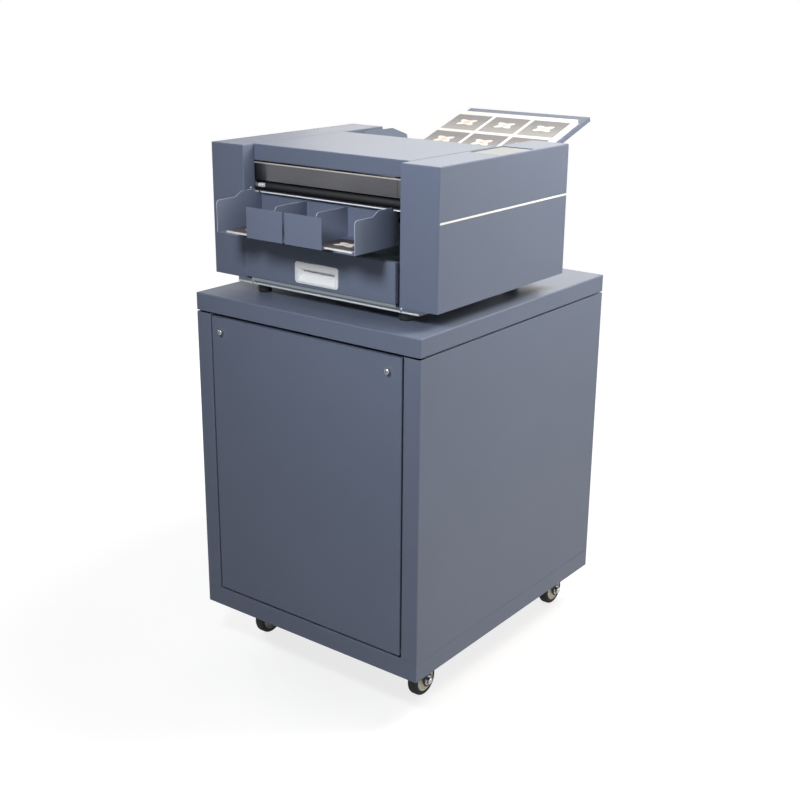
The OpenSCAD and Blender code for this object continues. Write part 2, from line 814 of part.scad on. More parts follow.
// Card tray: floor and back bent from one sheet, side plates and front stops turned up
module card_tray() {
  t = tray_sheet;
  notch_back = tray_front + 27;
  notch_out = stop_gap_half + stop_w + notch_w;
  notch_r = 6;
  corner = 7;
  side_z = tray_z + side_h;
  step_y = front_y - 52;
  color(paint) on_deck() {
    difference() {
      along_x(-tray_x, tray_x) bent_strip(
        [[tray_front, tray_z - t / 2], [back_y - t / 2, tray_z - t / 2], [back_y - t / 2, guide_z]], t, t);
      both_sides() {
        box([stop_gap_half + stop_w, tray_front - cut, tray_z - t - cut],
            [notch_out - notch_r, notch_back, tray_z + cut]);
        box([notch_out - notch_r - cut, tray_front - cut, tray_z - t - cut],
            [notch_out, notch_back - notch_r, tray_z + cut]);
        translate([notch_out - notch_r, notch_back - notch_r, tray_z - t - cut])
          cylinder(r = notch_r, h = t + 2 * cut);
      }
      box([-stop_gap_half, tray_front - cut, tray_z - t - cut],
          [stop_gap_half, tray_front + 8, tray_z + cut]);
    }
    both_sides() {
      box([tray_x - cut, back_y - t, tray_z + 6], [panel_fit - 0.6, back_y, guide_z]);
      box([stop_gap_half, tray_front, tray_z - t],
          [stop_gap_half + stop_w, tray_front + t, tray_z + stop_h]);
      along_x(tray_x - t, tray_x) {
        polygon([[tray_front, tray_z - t], [tray_front, side_z - corner], [tray_front + corner, side_z],
                 [step_y, side_z], [step_y + 18, side_z + side_step], [side_back, side_z + side_step],
                 [side_back, tray_z - t]]);
        translate([tray_front + corner, side_z - corner]) circle(corner);
      }
      tray_divider();
    }
  }
}

// Divider welded between the tray's floor and back
module tray_divider() {
  t = 1.2;
  corner = 8;
  low_z = tray_z - tray_sheet / 2;
  back = back_y - tray_sheet / 2;
  top_z = tray_z + stop_h;
  along_x(divider_x - t / 2, divider_x + t / 2) {
    polygon([[divider_front, low_z], [divider_front, top_z - corner], [divider_front + corner, top_z],
             [back, top_z], [back, low_z]]);
    translate([divider_front + corner, top_z - corner]) circle(corner);
  }
}

module cut_cards() {
  lie_y = tray_front + 8;
  side_mid = (divider_x + tray_x) / 2;
  color("white") on_deck()
    for (x = [-side_mid, side_mid])
      translate([x - card_w / 2, lie_y, tray_z]) cube([card_w, card_l, card_stack]);
}

// Waste drawer
module drawer_box() {
  t = drawer_sheet;
  color("lightgray") on_deck() difference() {
    box([-box_x, box_front, box_z], [box_x, box_front + drawer_l, box_z + box_h]);
    box([-box_x + t, box_front + t, box_z + t],
        [box_x - t, box_front + drawer_l - t, box_z + box_h + cut]);
    box([-cup_x - 1, box_front - cut, cup_z - 1], [cup_x + 1, box_front + t + cut, cup_top + 1]);
  }
}

module drawer_front() {
  t = drawer_sheet;
  color(paint) on_deck() difference() {
    translate([0, drawer_y + drawer_fold, drawer_z + drawer_h / 2]) rotate([90, 0, 0])
      soft_box([2 * drawer_x, drawer_h, drawer_fold], cover_edge_r);
    box([-drawer_x + t, drawer_y + t, drawer_z + t],
        [drawer_x - t, drawer_y + drawer_fold + cut, drawer_z + drawer_h - t]);
    box([-cup_x - 0.5, drawer_y - cut, cup_z - 0.5], [cup_x + 0.5, drawer_y + t + cut, cup_top + 0.5]);
  }
}

// White cup: a flange on the drawer front, and a pocket with a sloping floor under a finger lip
module drawer_pull() {
  flange = 2.5;
  wall = 2;
  deep = 19;
  lip = 13;
  color(white_plastic) on_deck() difference() {
    union() {
      translate([0, drawer_y, pull_z + pull_h / 2]) rotate([90, 0, 0])
        linear_extrude(flange) rounded_rect([pull_w, pull_h], 7);
      box([-cup_x, drawer_y - flange / 2, cup_z], [cup_x, drawer_y + deep, cup_top]);
    }
    along_x(-cup_x + wall, cup_x - wall) translate([drawer_y, pull_z]) polygon([
      [-flange - cut, 5], [-flange, 5], [deep - wall, pull_h - lip - 5], [deep - wall, pull_h - 6],
      [0, pull_h - 6], [0, pull_h - lip], [-flange - cut, pull_h - lip]]);
  }
}

// Feed side
module feed_table() {
  t = feed_sheet;
  x = panel_fit;
  flange = 14;
  color(dark_steel) on_deck() along_x(-x, x) bent_strip(
    [[table_front + t / 2, table_z - flange], [table_front + t / 2, table_z - t / 2],
     [rear_y, table_z - t / 2]], t, t);
}

module feed_tray() {
  t = feed_sheet;
  run = [cos(feed_slope), sin(feed_slope)];
  down = [sin(feed_slope), -cos(feed_slope)];
  foot = [ramp_y - t / 2, table_z - t / 2];
  top = foot + run * ((feed_end - ramp_y) / cos(feed_slope));
  color(paint) on_deck() {
    along_x(-feed_x, feed_x) bent_strip(
      [[foot[0], table_z - tray_foot], foot, top, top + down * feed_fold], t, t);
    both_sides() along_x(feed_x - t, feed_x) polygon([
      foot + run * 4, top - run * t, top - run * t + down * feed_fold, foot + run * 8 + down * feed_fold]);
  }
}

module tray_arms() {
  t = 3;
  low_z = inlet_c[1] + inlet_h / 2 + 7;
  step_y = ramp_y + 2;
  step_z = table_z - tray_foot - 1;
  arm_end = rear_y + 0.75 * feed_reach;
  under = feed_sheet / cos(feed_slope) + seat_gap;
  color(paint) on_deck() both_sides() along_x(feed_x - 22, feed_x - 22 + t) polygon([
    [rear_y, low_z], [rear_y, step_z], [step_y, step_z], [step_y, ramp_z(step_y) - under],
    [arm_end, ramp_z(arm_end) - under], [arm_end, ramp_z(arm_end) - under - 12], [rear_y + 14, low_z]]);
}

module feed_guides() {
  foot_w = 14;
  back = rear_y + guide_reach;
  top_z = machine_top;
  color(paint) on_deck() both_sides() {
    along_x(guide_x, guide_x + guide_t) polygon([
      [guide_front_y, table_z], [rear_y - 4, table_z], [back, ramp_z(back) + 2], [back, top_z - 28],
      [back - 4, top_z - 18], [rear_y - 13, top_z], [guide_front_y, top_z]]);
    box([guide_x + guide_t - cut, guide_front_y, table_z],
        [guide_x + guide_t + foot_w, rear_y - 6, table_z + guide_t]);
  }
}

// Stack of printed sheets: flat on the table, then up the tray
module print_sheet() {
  t = sheet_stack;
  lead = feed_c[0] + roller_r + 3;
  rise = [ramp_y - 1 - t / 2 * tan(feed_slope / 2), table_z + t / 2 + 0.1];
  flat_l = rise[0] - lead;
  slope_l = sheet_l - flat_l;
  top = rise + slope_l * [cos(feed_slope), sin(feed_slope)];
  color("white") on_deck() along_x(-sheet_x, sheet_x)
    bent_strip([[lead, rise[1]], rise, top], t, 40);
}

// Rollers and knives
module roller(c, sleeve_x, x0, x1) {
  bar_x(c, roller_shaft_r, x0, x1);
  if (sleeve_x > 0) bar_x(c, roller_r, -sleeve_x, sleeve_x);
}

module exit_shaft() {
  color(bright_steel) on_deck() roller(exit_c, 0, -track_x - track_w, frame_out + 2);
}

module exit_sleeve() {
  color(black_rubber) on_deck() difference() {
    bar_x(exit_c, roller_r, -exit_sleeve_x, exit_sleeve_x);
    bar_x(exit_c, roller_shaft_r + press_gap, -exit_sleeve_x - cut, exit_sleeve_x + cut);
  }
}

module exit_pinch() {
  color(black_rubber) on_deck() roller(exit_pinch_c, exit_sleeve_x, -frame_out - 2, frame_out + 2);
}

module feed_roller() {
  color(black_rubber) on_deck() roller(feed_c, sheet_x, -track_x - track_step - track_w, frame_out + 2);
}

module feed_pinch() {
  color(black_rubber) on_deck() roller(feed_pinch_c, sheet_x, -frame_out - 2, frame_out + 2);
}

// Slitting knives: lower discs on one side of each cut line, upper discs on the other
module knife_set(c, shift, x0, x1) {
  collar_r = 13;
  collar_w = 8;
  bar_x(c, knife_shaft_r, x0, x1);
  for (x = slits) {
    bar_x(c, knife_r, x + shift, x + shift + knife_w);
    collar_at = x + (shift < 0 ? shift - collar_w : shift + knife_w);
    bar_x(c, collar_r, collar_at, collar_at + collar_w);
  }
}

module lower_knives() {
  color(bright_steel) on_deck() knife_set(knife_c, -knife_w - 0.1, -track_x - 3 * track_step, frame_out + 4);
}

module upper_knives() {
  color(bright_steel) on_deck() knife_set(knife_top_c, 0.1, -gear_x - gear_w, frame_out + 4);
}

// Involute spur gear outline
gear_module = 2 * gear_pitch_r / gear_teeth;
function inv(r, base) = r <= base ? 0 : sqrt(pow(r / base, 2) - 1) * 180 / PI - acos(base / r);
function gear_outline(turn) = let (
    base = gear_pitch_r * cos(20),
    root = gear_pitch_r - 1.25 * gear_module,
    tip = gear_pitch_r + 0.9 * gear_module,
    half = 90 / gear_teeth - 0.5,
    radii = [root, base, (base + gear_pitch_r) / 2, gear_pitch_r, (gear_pitch_r + tip) / 2, tip])
  [for (i = [0 : gear_teeth - 1], k = [0 : 11])
    let (r = radii[k < 6 ? k : 11 - k],
         a = half + inv(gear_pitch_r, base) - inv(r, base),
         w = turn + i * 360 / gear_teeth + (k < 6 ? -a : a))
      r * [cos(w), sin(w)]];

module spur_gear(c, turn) {
  along_x(-gear_x - gear_w, -gear_x) translate(c) difference() {
    polygon(gear_outline(turn));
    circle(knife_shaft_r + press_gap);
  }
}

module pulley(c, n, bore) {
  x1 = -track_x - n * track_step;
  rim_h = 2.5;
  rim_t = 0.8;
  difference() {
    union() {
      bar_x(c, pulley_r, x1 - track_w, x1);
      bar_x(c, pulley_r + rim_h, x1 - track_w - rim_t, x1 - track_w);
    }
    bar_x(c, bore, x1 - track_w - 2, x1 + cut);
  }
}

module knife_drive() {
  color("tan") on_deck() {
    spur_gear(knife_c, 0);
    for (n = [0 : 2]) pulley(knife_c, n, knife_shaft_r + press_gap);
    difference() {
      bar_x(knife_c, pulley_r - 2, -track_x - 3 * track_step + 1, -gear_x - 1);
      bar_x(knife_c, knife_shaft_r + press_gap, -track_x - 4 * track_step, 0);
    }
  }
}

module upper_gear() {
  color("tan") on_deck() spur_gear(knife_top_c, 180 / gear_teeth);
}

module exit_pulley() {
  color("tan") on_deck() pulley(exit_c, 0, roller_shaft_r + press_gap);
}

module feed_pulley() {
  color("tan") on_deck() pulley(feed_c, 1, roller_shaft_r + press_gap);
}

motor_shaft_r = 4;
module motor_pulley() {
  shaft_end = motor_face + 8;
  color(bright_steel) on_deck() {
    pulley(motor_c, 2, motor_shaft_r / 2);
    bar_x(motor_c, motor_shaft_r, -shaft_end, -track_x - 2 * track_step);
  }
}

// Belt loop round two equal pulleys
module belt(c0, c1, n) {
  r = pulley_r + seat_gap;
  d = norm(c1 - c0);
  tilt = atan2(c1[1] - c0[1], c1[0] - c0[0]);
  x1 = -track_x - n * track_step - 0.4;
  along_x(x1 - track_w + 0.8, x1) translate(c0) rotate(tilt) difference() {
    union() {
      circle(r + belt_t);
      translate([d, 0]) circle(r + belt_t);
      translate([0, -r - belt_t]) square([d, 2 * (r + belt_t)]);
    }
    circle(r);
    translate([d, 0]) circle(r);
    translate([0, -r]) square([d, 2 * r]);
  }
}

module drive_belts() {
  color(black_rubber) on_deck() {
    belt(knife_c, exit_c, 0);
    belt(knife_c, feed_c, 1);
    belt(knife_c, motor_c, 2);
  }
}

module drive_motor() {
  plate_t = 3;
  post = motor_size / 2 - 6;
  can_end = machine_w / 2 - cover_sheet - 3;
  color("#303030") on_deck() difference() {
    union() {
      translate([-motor_face - plate_t, motor_c[0], motor_c[1]]) rotate([0, 90, 0])
        linear_extrude(plate_t) rounded_rect([motor_size, motor_size], 4);
      translate([-can_end, motor_c[0], motor_c[1]]) rotate([0, 90, 0])
        linear_extrude(can_end - motor_face - plate_t) rounded_rect([motor_size - 2, motor_size - 2], 8);
      for (y = [-post, post], z = [-post, post])
        bar_x(motor_c + [y, z], 4, -motor_face - cut, -frame_out);
    }
    bar_x(motor_c, motor_shaft_r + run_gap, -motor_face - 9, -motor_face + cut);
  }
}

// Cross cut
shear_y = blade_c - 2;
module cross_bed() {
  bed = 14;
  color(bright_steel) on_deck()
    box([-frame_x, shear_y - bed, table_z - bed], [frame_x, shear_y, table_z]);
}

module cross_blade() {
  blade_t = 3;
  edge_z = paper_z + 2.5;
  edge_w = 0.6;
  grind_h = 4.5;
  blade_front = shear_y + seat_gap;
  yoke_w = 28;
  pin_swing = crank_throw * (1 - cos(crank_half));
  slot_end = crank_pin_r + 1;
  slot_half = crank_pin_r + 0.35;
  color(bright_steel) on_deck() difference() {
    union() {
      box([-frame_out - 1, blade_c, carrier_z],
          [yoke_x + yoke_t, blade_c + carrier_w, carrier_z + carrier_h]);
      along_x(-frame_x + 6, frame_x - 6) polygon([
        [blade_front, edge_z], [blade_front + edge_w, edge_z], [blade_front + blade_t, edge_z + grind_h],
        [blade_front + blade_t, carrier_z + carrier_h], [blade_front, carrier_z + carrier_h]]);
      box([yoke_x, carrier_mid[0] - yoke_w / 2, carrier_z],
          [yoke_x + yoke_t, carrier_mid[0] + yoke_w / 2, carrier_z + carrier_h]);
    }
    box([yoke_x - cut, carrier_mid[0] - pin_swing - slot_end, carrier_mid[1] - slot_half],
        [yoke_x + yoke_t + cut, carrier_mid[0] + slot_end, carrier_mid[1] + slot_half]);
  }
}

crank_shaft_r = 5;
module blade_crank() {
  pin = crank_c + crank_throw * [cos(crank_half), sin(crank_half)];
  color(dark_steel) on_deck() {
    bar_x(crank_c, 16, crank_disc_x, crank_disc_x + crank_disc_t);
    bar_x(pin, crank_pin_r, yoke_x + 0.5, crank_disc_x + cut);
    bar_x(crank_c, crank_shaft_r, crank_disc_x + crank_disc_t - cut, crank_disc_x + crank_disc_t + 12);
  }
}

module blade_motor() {
  gearbox = 60;
  x0 = crank_disc_x + crank_disc_t + 0.8;
  x1 = x0 + 32;
  post = gearbox / 2 - 6;
  can_end = machine_w / 2 - cover_sheet - 3;
  color("#303030") on_deck() difference() {
    union() {
      translate([x0, crank_c[0], crank_c[1]]) rotate([0, 90, 0])
        linear_extrude(x1 - x0) rounded_rect([gearbox, gearbox], 6);
      bar_x(crank_c, 18, x1 - cut, can_end);
      for (y = [-post, post], z = [-post, post]) bar_x(crank_c + [y, z], 4, frame_out, x0 + cut);
    }
    bar_x(crank_c, crank_shaft_r + run_gap, x0 - cut, x0 + 13);
  }
}

// Electrics
module power_inlet() {
  flange = 3;
  body = 28;
  socket = [26, 18, 16];
  socket_z = inlet_c[1] - 9;
  pins = [[-7, 1.5], [0, -2.5], [7, 1.5]];
  color("#202020") on_deck() {
    difference() {
      union() {
        box([inlet_c[0] - inlet_w / 2 - 3, rear_y, inlet_c[1] - inlet_h / 2 - 3],
            [inlet_c[0] + inlet_w / 2 + 3, rear_y + flange, inlet_c[1] + inlet_h / 2 + 3]);
        box([inlet_c[0] - inlet_w / 2 + 1, rear_y - body, inlet_c[1] - inlet_h / 2 + 1],
            [inlet_c[0] + inlet_w / 2 - 1, rear_y + cut, inlet_c[1] + inlet_h / 2 - 1]);
      }
      box([inlet_c[0] - socket[0] / 2, rear_y + flange - socket[2], socket_z - socket[1] / 2],
          [inlet_c[0] + socket[0] / 2, rear_y + flange + cut, socket_z + socket[1] / 2]);
      rocker_pocket();
    }
    for (p = pins)
      translate([inlet_c[0] + p[0] - 1, rear_y + flange - socket[2] - cut, socket_z + p[1] + 1])
        cube([2, 12, 4]);
  }
}

rocker_c = [rear_y - 4, inlet_c[1] + 14];
module rocker_pocket() {
  room = 0.5;
  half = rocker_w / 2 + room;
  pin_half = rocker_pin_l / 2 + room;
  along_x(inlet_c[0] - half, inlet_c[0] + half) translate(rocker_c) {
    circle(rocker_r + room);
    translate([0, -rocker_r - room]) square([20, 2 * (rocker_r + room)]);
  }
  bar_x(rocker_c, rocker_pin_r + run_gap, inlet_c[0] - pin_half, inlet_c[0] + pin_half);
}

// Rocker: a round-backed key with a flat face, turned to one side at rest
module power_rocker() {
  tilt = 10;
  color("black") on_deck() {
    along_x(inlet_c[0] - rocker_w / 2, inlet_c[0] + rocker_w / 2) translate(rocker_c) difference() {
      circle(rocker_r);
      rotate(-tilt) translate([rocker_r / 2, -20]) square([20, 40]);
    }
    bar_x(rocker_c, rocker_pin_r, inlet_c[0] - rocker_pin_l / 2, inlet_c[0] + rocker_pin_l / 2);
  }
}

// Power supply: a vented case on the right frame, with a step at the back for its terminals
module power_supply() {
  back = frame_back - 20;
  front = back - supply_l;
  low_z = base_top + 20;
  out_x = frame_out + supply_w;
  step = [22, 18, 40];
  vent_w = 3;
  vent_h = supply_h - 50;
  vent_deep = 2;
  vent_pitch = 10;
  vents = 8;
  color("lightgray") on_deck() difference() {
    box([frame_out, front, low_z], [out_x, back, low_z + supply_h]);
    box([out_x - step[0], back - step[1], low_z - cut], [out_x + cut, back + cut, low_z + step[2]]);
    for (i = [0 : vents - 1])
      translate([out_x - vent_deep, front + 24 + i * vent_pitch, low_z + 25])
        cube([vent_deep + cut, vent_w, vent_h]);
  }
}

cabinet_base();
cabinet_body();
cabinet_top();
cabinet_door();
door_pins();
lock_barrels();
lock_cam_left();
lock_cam_right();
castor_plates();
castor_fork_fl();
castor_fork_fr();
castor_fork_rl();
castor_fork_rr();
castor_wheel_fl();
castor_wheel_fr();
castor_wheel_rl();
castor_wheel_rr();
machine_feet();
base_plate();
left_frame();
right_frame();
left_cover();
right_cover();
top_cover();
cover_pins();
rear_panel();
exit_guard();
exit_guide();
card_tray();
cut_cards();
drawer_box();
drawer_front();
drawer_pull();
feed_table();
feed_tray();
tray_arms();
feed_guides();
print_sheet();
exit_shaft();
exit_sleeve();
exit_pinch();
feed_roller();
feed_pinch();
lower_knives();
upper_knives();
knife_drive();
upper_gear();
cross_bed();
cross_blade();
blade_crank();
blade_motor();
drive_motor();
motor_pulley();
feed_pulley();
exit_pulley();
drive_belts();
touch_panel();
power_inlet();
power_rocker();
power_supply();
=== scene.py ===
"""Looks for a sheet-fed card cutter on its castored cabinet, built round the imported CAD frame."""

import math

import bmesh
import bpy
from bpy.props import FloatProperty, FloatVectorProperty, IntProperty, PointerProperty
from mathutils import Matrix, Vector


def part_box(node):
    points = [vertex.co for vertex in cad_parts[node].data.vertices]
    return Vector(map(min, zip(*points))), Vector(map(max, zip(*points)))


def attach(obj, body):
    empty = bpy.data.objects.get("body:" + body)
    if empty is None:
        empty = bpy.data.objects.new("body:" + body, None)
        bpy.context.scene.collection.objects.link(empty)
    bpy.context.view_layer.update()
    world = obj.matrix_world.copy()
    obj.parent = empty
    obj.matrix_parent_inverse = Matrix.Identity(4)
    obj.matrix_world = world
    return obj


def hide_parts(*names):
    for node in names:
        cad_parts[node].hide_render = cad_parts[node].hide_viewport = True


bl_info = {
    "name": "Card Cutter",
    "version": (1, 0, 0),
    "blender": (4, 5, 0),
    "location": "View3D > Sidebar > Card Cutter",
    "description": "Dresses the card cutter's CAD frame and sets its studio stage",
    "category": "Object",
}

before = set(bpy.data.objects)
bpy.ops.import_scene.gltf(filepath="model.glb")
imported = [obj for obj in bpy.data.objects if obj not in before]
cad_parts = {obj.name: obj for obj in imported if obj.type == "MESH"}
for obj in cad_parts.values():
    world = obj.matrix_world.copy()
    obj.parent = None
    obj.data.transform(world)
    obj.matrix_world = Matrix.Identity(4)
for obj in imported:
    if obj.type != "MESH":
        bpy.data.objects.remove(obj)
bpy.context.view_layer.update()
MM = 0.001
CORNERS = ("fl", "fr", "rl", "rr")
SIDES = (-1, 1)
FEED_SLOPE = math.radians(18)
# Edge angle in degrees up to which a piece is shaded smooth
SMOOTH = 35
# Distance under which two vertices are one
WELD = 1e-6

# Camera solved from the photograph: place in metres, yaw, pitch and roll in degrees, lens and sensor in mm
CAMERA_AT = (1.6361, -2.1825, 1.4792)
CAMERA_TURN = (37.127, 18.471, 0.523)
CAMERA_LENS, CAMERA_SENSOR = 56.38, 36

# Colours of the lamps: cool at the front and warm at the right and behind, as in the photograph
COOL, PLAIN, WARM = "#f7faff", "#ffffff", "#fffaf0"
# Studio lamps: place and aim in metres, size in metres, power in watts, colour
LAMPS = (
    ("key_softbox", (0.25, -1.38, 1.68), (0.75, -0.2, 0.75), 0.3, 15.2, COOL),
    ("right_softbox", (1.2, 0.7, 2.0), (0.2, 0, 0.9), 0.6, 25.5, WARM),
    ("overhead_softbox", (0.9, 0.2, 2.35), (0.2, 0, 0.9), 0.8, 13.2, WARM),
    ("side_fill", (2.2, 1.0, 1.4), (0.2, 0, 0.8), 1.2, 11.2, WARM),
    ("front_fill", (2.0, -1.2, 1.5), (0.2, 0, 0.8), 1.2, 7, PLAIN),
    ("back_softbox", (-1.2, 2.4, 2.0), (0, 0, 1.0), 2.0, 19.4, WARM),
    ("left_fill", (-2.2, 0.2, 1.3), (-0.2, 0, 0.8), 1.2, 26, PLAIN),
)
# Lamps whose mirror image would burn out the top cover, seen from the left
NO_GLARE = ("right_softbox",)
WORLD_LIGHT = 0.0
FLOOR_HALF, FLOOR_TOP, FLOOR_LOW = 40.0, -0.0005, -0.02


def linear(hex_colour):
    """Linear RGB of an sRGB hex colour."""
    parts = [int(hex_colour[i : i + 2], 16) / 255 for i in (1, 3, 5)]
    return tuple(v / 12.92 if v <= 0.04045 else ((v + 0.055) / 1.055) ** 2.4 for v in parts)


def colour_prop(name, hex_colour):
    note = f"Colour of the {name.lower()}"
    return FloatVectorProperty(
        name=name, description=note, subtype="COLOR", size=3, min=0, max=1, default=linear(hex_colour)
    )


def length_prop(name, description, mm):
    return FloatProperty(name=name, description=description, unit="LENGTH", min=0, default=mm * MM)


def count_prop(name, description, count):
    return IntProperty(name=name, description=description, min=2, default=count)


class CutterColours(bpy.types.PropertyGroup):
    """Colours of the cutter's finishes"""

    paint: colour_prop("Slate paint", "#6e778b")
    tyre: colour_prop("Castor tyre", "#101011")
    # Hub colour raised near white: painted light under the cabinet
    hub: colour_prop("Castor hub", "#fff8e4")
    enamel: colour_prop("Black enamel", "#151515")
    rubber: colour_prop("Black rubber", "#1b1c1f")
    # Stainless colour darkened as painted shade for the dim surroundings it reflects
    stainless: colour_prop("Stainless steel", "#858589")
    # Dark exit guide plate: painted shade of the roller over the plate
    guide: colour_prop("Exit guide", "#2b2c2f")
    edge: colour_prop("Bare sheet edge", "#ddd6cf")
    bracket: colour_prop("Guard brackets", "#56575b")
    zinc: colour_prop("Zinc plate", "#b9c4c8")
    # Base plate colour: galvanised grey darkened as painted shade under the drawer
    galvanised_and_shade: colour_prop("Galvanised base plate", "#8b969c")
    # Near-white metal colour: painted highlight on small bright edges and ends
    aluminium: colour_prop("Anodised aluminium", "#eef2f8")
    steel: colour_prop("Ground steel", "#c4c5c8")
    acetal: colour_prop("Acetal gears", "#d8cfb8")
    shell: colour_prop("White plastic", "#fbfcfc")
    screen: colour_prop("Touch screen", "#898c8f")
    # Tray edges: painted highlight on the plates' top edges
    rim: colour_prop("Tray edges", "#a7b1c9")
    black: colour_prop("Black plastic", "#17181a")
    paper: colour_prop("Paper", "#f4f4f2")
    print_dark: colour_prop("Card print, far edge", "#828083")
    print_pale: colour_prop("Card print, near edge", "#a4a2a2")
    motif: colour_prop("Card motif", "#f1ebe6")
    blush: colour_prop("Card motif's middle", "#e2c9bd")
    # Cut cards' print darkened as painted shade of the tray, deeper at the far edge
    card_shade_far: colour_prop("Cut card, far edge", "#332f2e")
    card_shade_near: colour_prop("Cut card, near edge", "#524c49")


class CutterSizes(bpy.types.PropertyGroup):
    """Sizes of the cutter's small pieces"""

    stripe_h: length_prop("Stripe height", "Height of the white stripe on the right cover", 4)
    stripe_t: length_prop("Stripe thickness", "Thickness of the stripe's film", 0.25)
    stripe_z: length_prop("Stripe level", "Height of the stripe above the cover's lower edge", 172.6)
    edge_h: length_prop("Guard edge height", "Height of the bare folded edge on the exit guard", 2.8)
    nose_r: length_prop("Guide nose radius", "Radius of the exit guide's rounded front edge", 1.5)
    screw_r: length_prop("Screw radius", "Radius of a screw head", 3.2)
    screw_h: length_prop("Screw height", "Height of a screw head", 1.8)
    nut_r: length_prop("Nut radius", "Radius over the corners of a castor's nut", 8.2)
    nut_h: length_prop("Nut height", "Height of a castor's nut", 6.6)
    tray_w: length_prop("Tray width", "Width over the card tray's side plates", 360)
    rim_r: length_prop("Tray edge radius", "Radius of the tray plates' dressed edges", 0.65)
    guide_drop: length_prop("Right guide's drop", "How much lower the right feed guide stands", 12)
    card_w: length_prop("Card width", "Width of a card", 98)
    card_l: length_prop("Card length", "Length of a card", 86)
    card_gap_x: length_prop("Card gap across", "Gap between two cards across the sheet", 10)
    card_gap_y: length_prop("Card gap along", "Gap between two cards along the sheet", 14)
    sheet_end: length_prop("Sheet end margin", "Bare margin at the sheet's rear edge", 21)
    sheet_l: length_prop("Sheet length", "Length of a printed sheet", 456)
    sheet_stack: length_prop("Sheet stack", "Thickness of the stack of sheets", 11)
    leaf_count: count_prop("Leaves", "Leaves drawn in the stack of sheets", 22)
    card_count: count_prop("Cards", "Cards in each stack of cut cards", 7)


def add_node(tree, kind, inputs=None, **settings):
    """Adds a node, sets its attributes, and sets or links its inputs."""
    node = tree.nodes.new(kind)
    for key, value in settings.items():
        setattr(node, key, value)
    for socket, value in (inputs or {}).items():
        if isinstance(value, bpy.types.NodeSocket):
            tree.links.new(value, node.inputs[socket])
        else:
            node.inputs[socket].default_value = value
    return node


def start_material(name, colour, roughness, metallic=0.0, ior=1.5):
    """Material with even values on its shader. Gives the material, its tree and the shader."""
    mat = bpy.data.materials.new(name)
    mat.use_nodes = True
    shader = mat.node_tree.nodes["Principled BSDF"]
    even = {"Base Color": (*colour, 1), "Roughness": roughness, "Metallic": metallic, "IOR": ior}
    for socket, value in even.items():
        shader.inputs[socket].default_value = value
    return mat, mat.node_tree, shader


# Size of the slow cloudiness of every finish, and how far the grain moves the roughness
CLOUD_MM, GLOSS_SWING = 110, 0.05


def surface(
    name, colour, roughness, grain_mm, bump_mm=0.02, spread=0.06, metallic=0.0, stretch=(1, 1, 1), ior=1.5
):
    """Material with grain of a real size: it varies the colour and the roughness and lifts the surface."""
    mat, tree, shader = start_material(name, colour, roughness, metallic, ior)
    coords = add_node(tree, "ShaderNodeTexCoord").outputs["Object"]
    spot = add_node(tree, "ShaderNodeMapping", {"Vector": coords, "Scale": stretch}).outputs["Vector"]
    fine = {"Vector": spot, "Scale": 1 / (grain_mm * MM), "Detail": 3.0, "Roughness": 0.55}
    grain = add_node(tree, "ShaderNodeTexNoise", fine).outputs["Fac"]
    slow = {"Vector": coords, "Scale": 1 / (CLOUD_MM * MM), "Detail": 2.0}
    cloud = add_node(tree, "ShaderNodeTexNoise", slow).outputs["Fac"]
    both = add_node(tree, "ShaderNodeMath", {0: grain, 1: cloud}, operation="ADD").outputs["Value"]
    whole = {"Value": both, "From Min": 0.6, "From Max": 1.4, "To Min": 0.0, "To Max": 1.0}
    tint = add_node(tree, "ShaderNodeMapRange", whole).outputs["Result"]
    tones = add_node(tree, "ShaderNodeValToRGB", {"Fac": tint})
    for element, share in zip(tones.color_ramp.elements, (1 - spread, 1 + spread)):
        element.color = (*(min(1.0, c * share) for c in colour), 1)
    swing = {"To Min": roughness - GLOSS_SWING, "To Max": roughness + GLOSS_SWING}
    gloss = add_node(tree, "ShaderNodeMapRange", {"Value": grain, "From Min": 0.3, "From Max": 0.7, **swing})
    bump = add_node(tree, "ShaderNodeBump", {"Height": grain, "Distance": bump_mm * MM, "Strength": 1.0})
    varied = {
        "Base Color": tones.outputs["Color"],
        "Roughness": gloss.outputs["Result"],
        "Normal": bump.outputs["Normal"],
    }
    for socket, value in varied.items():
        tree.links.new(value, shader.inputs[socket])
    return mat


# Size of the cloudiness in the print, and the motif's leaves: their turns, and their size as shares of a card
TONER_MM = 14
LEAF_TURNS, LEAF_SIZE = (0.6, -0.6), (0.27, 0.1, 1)


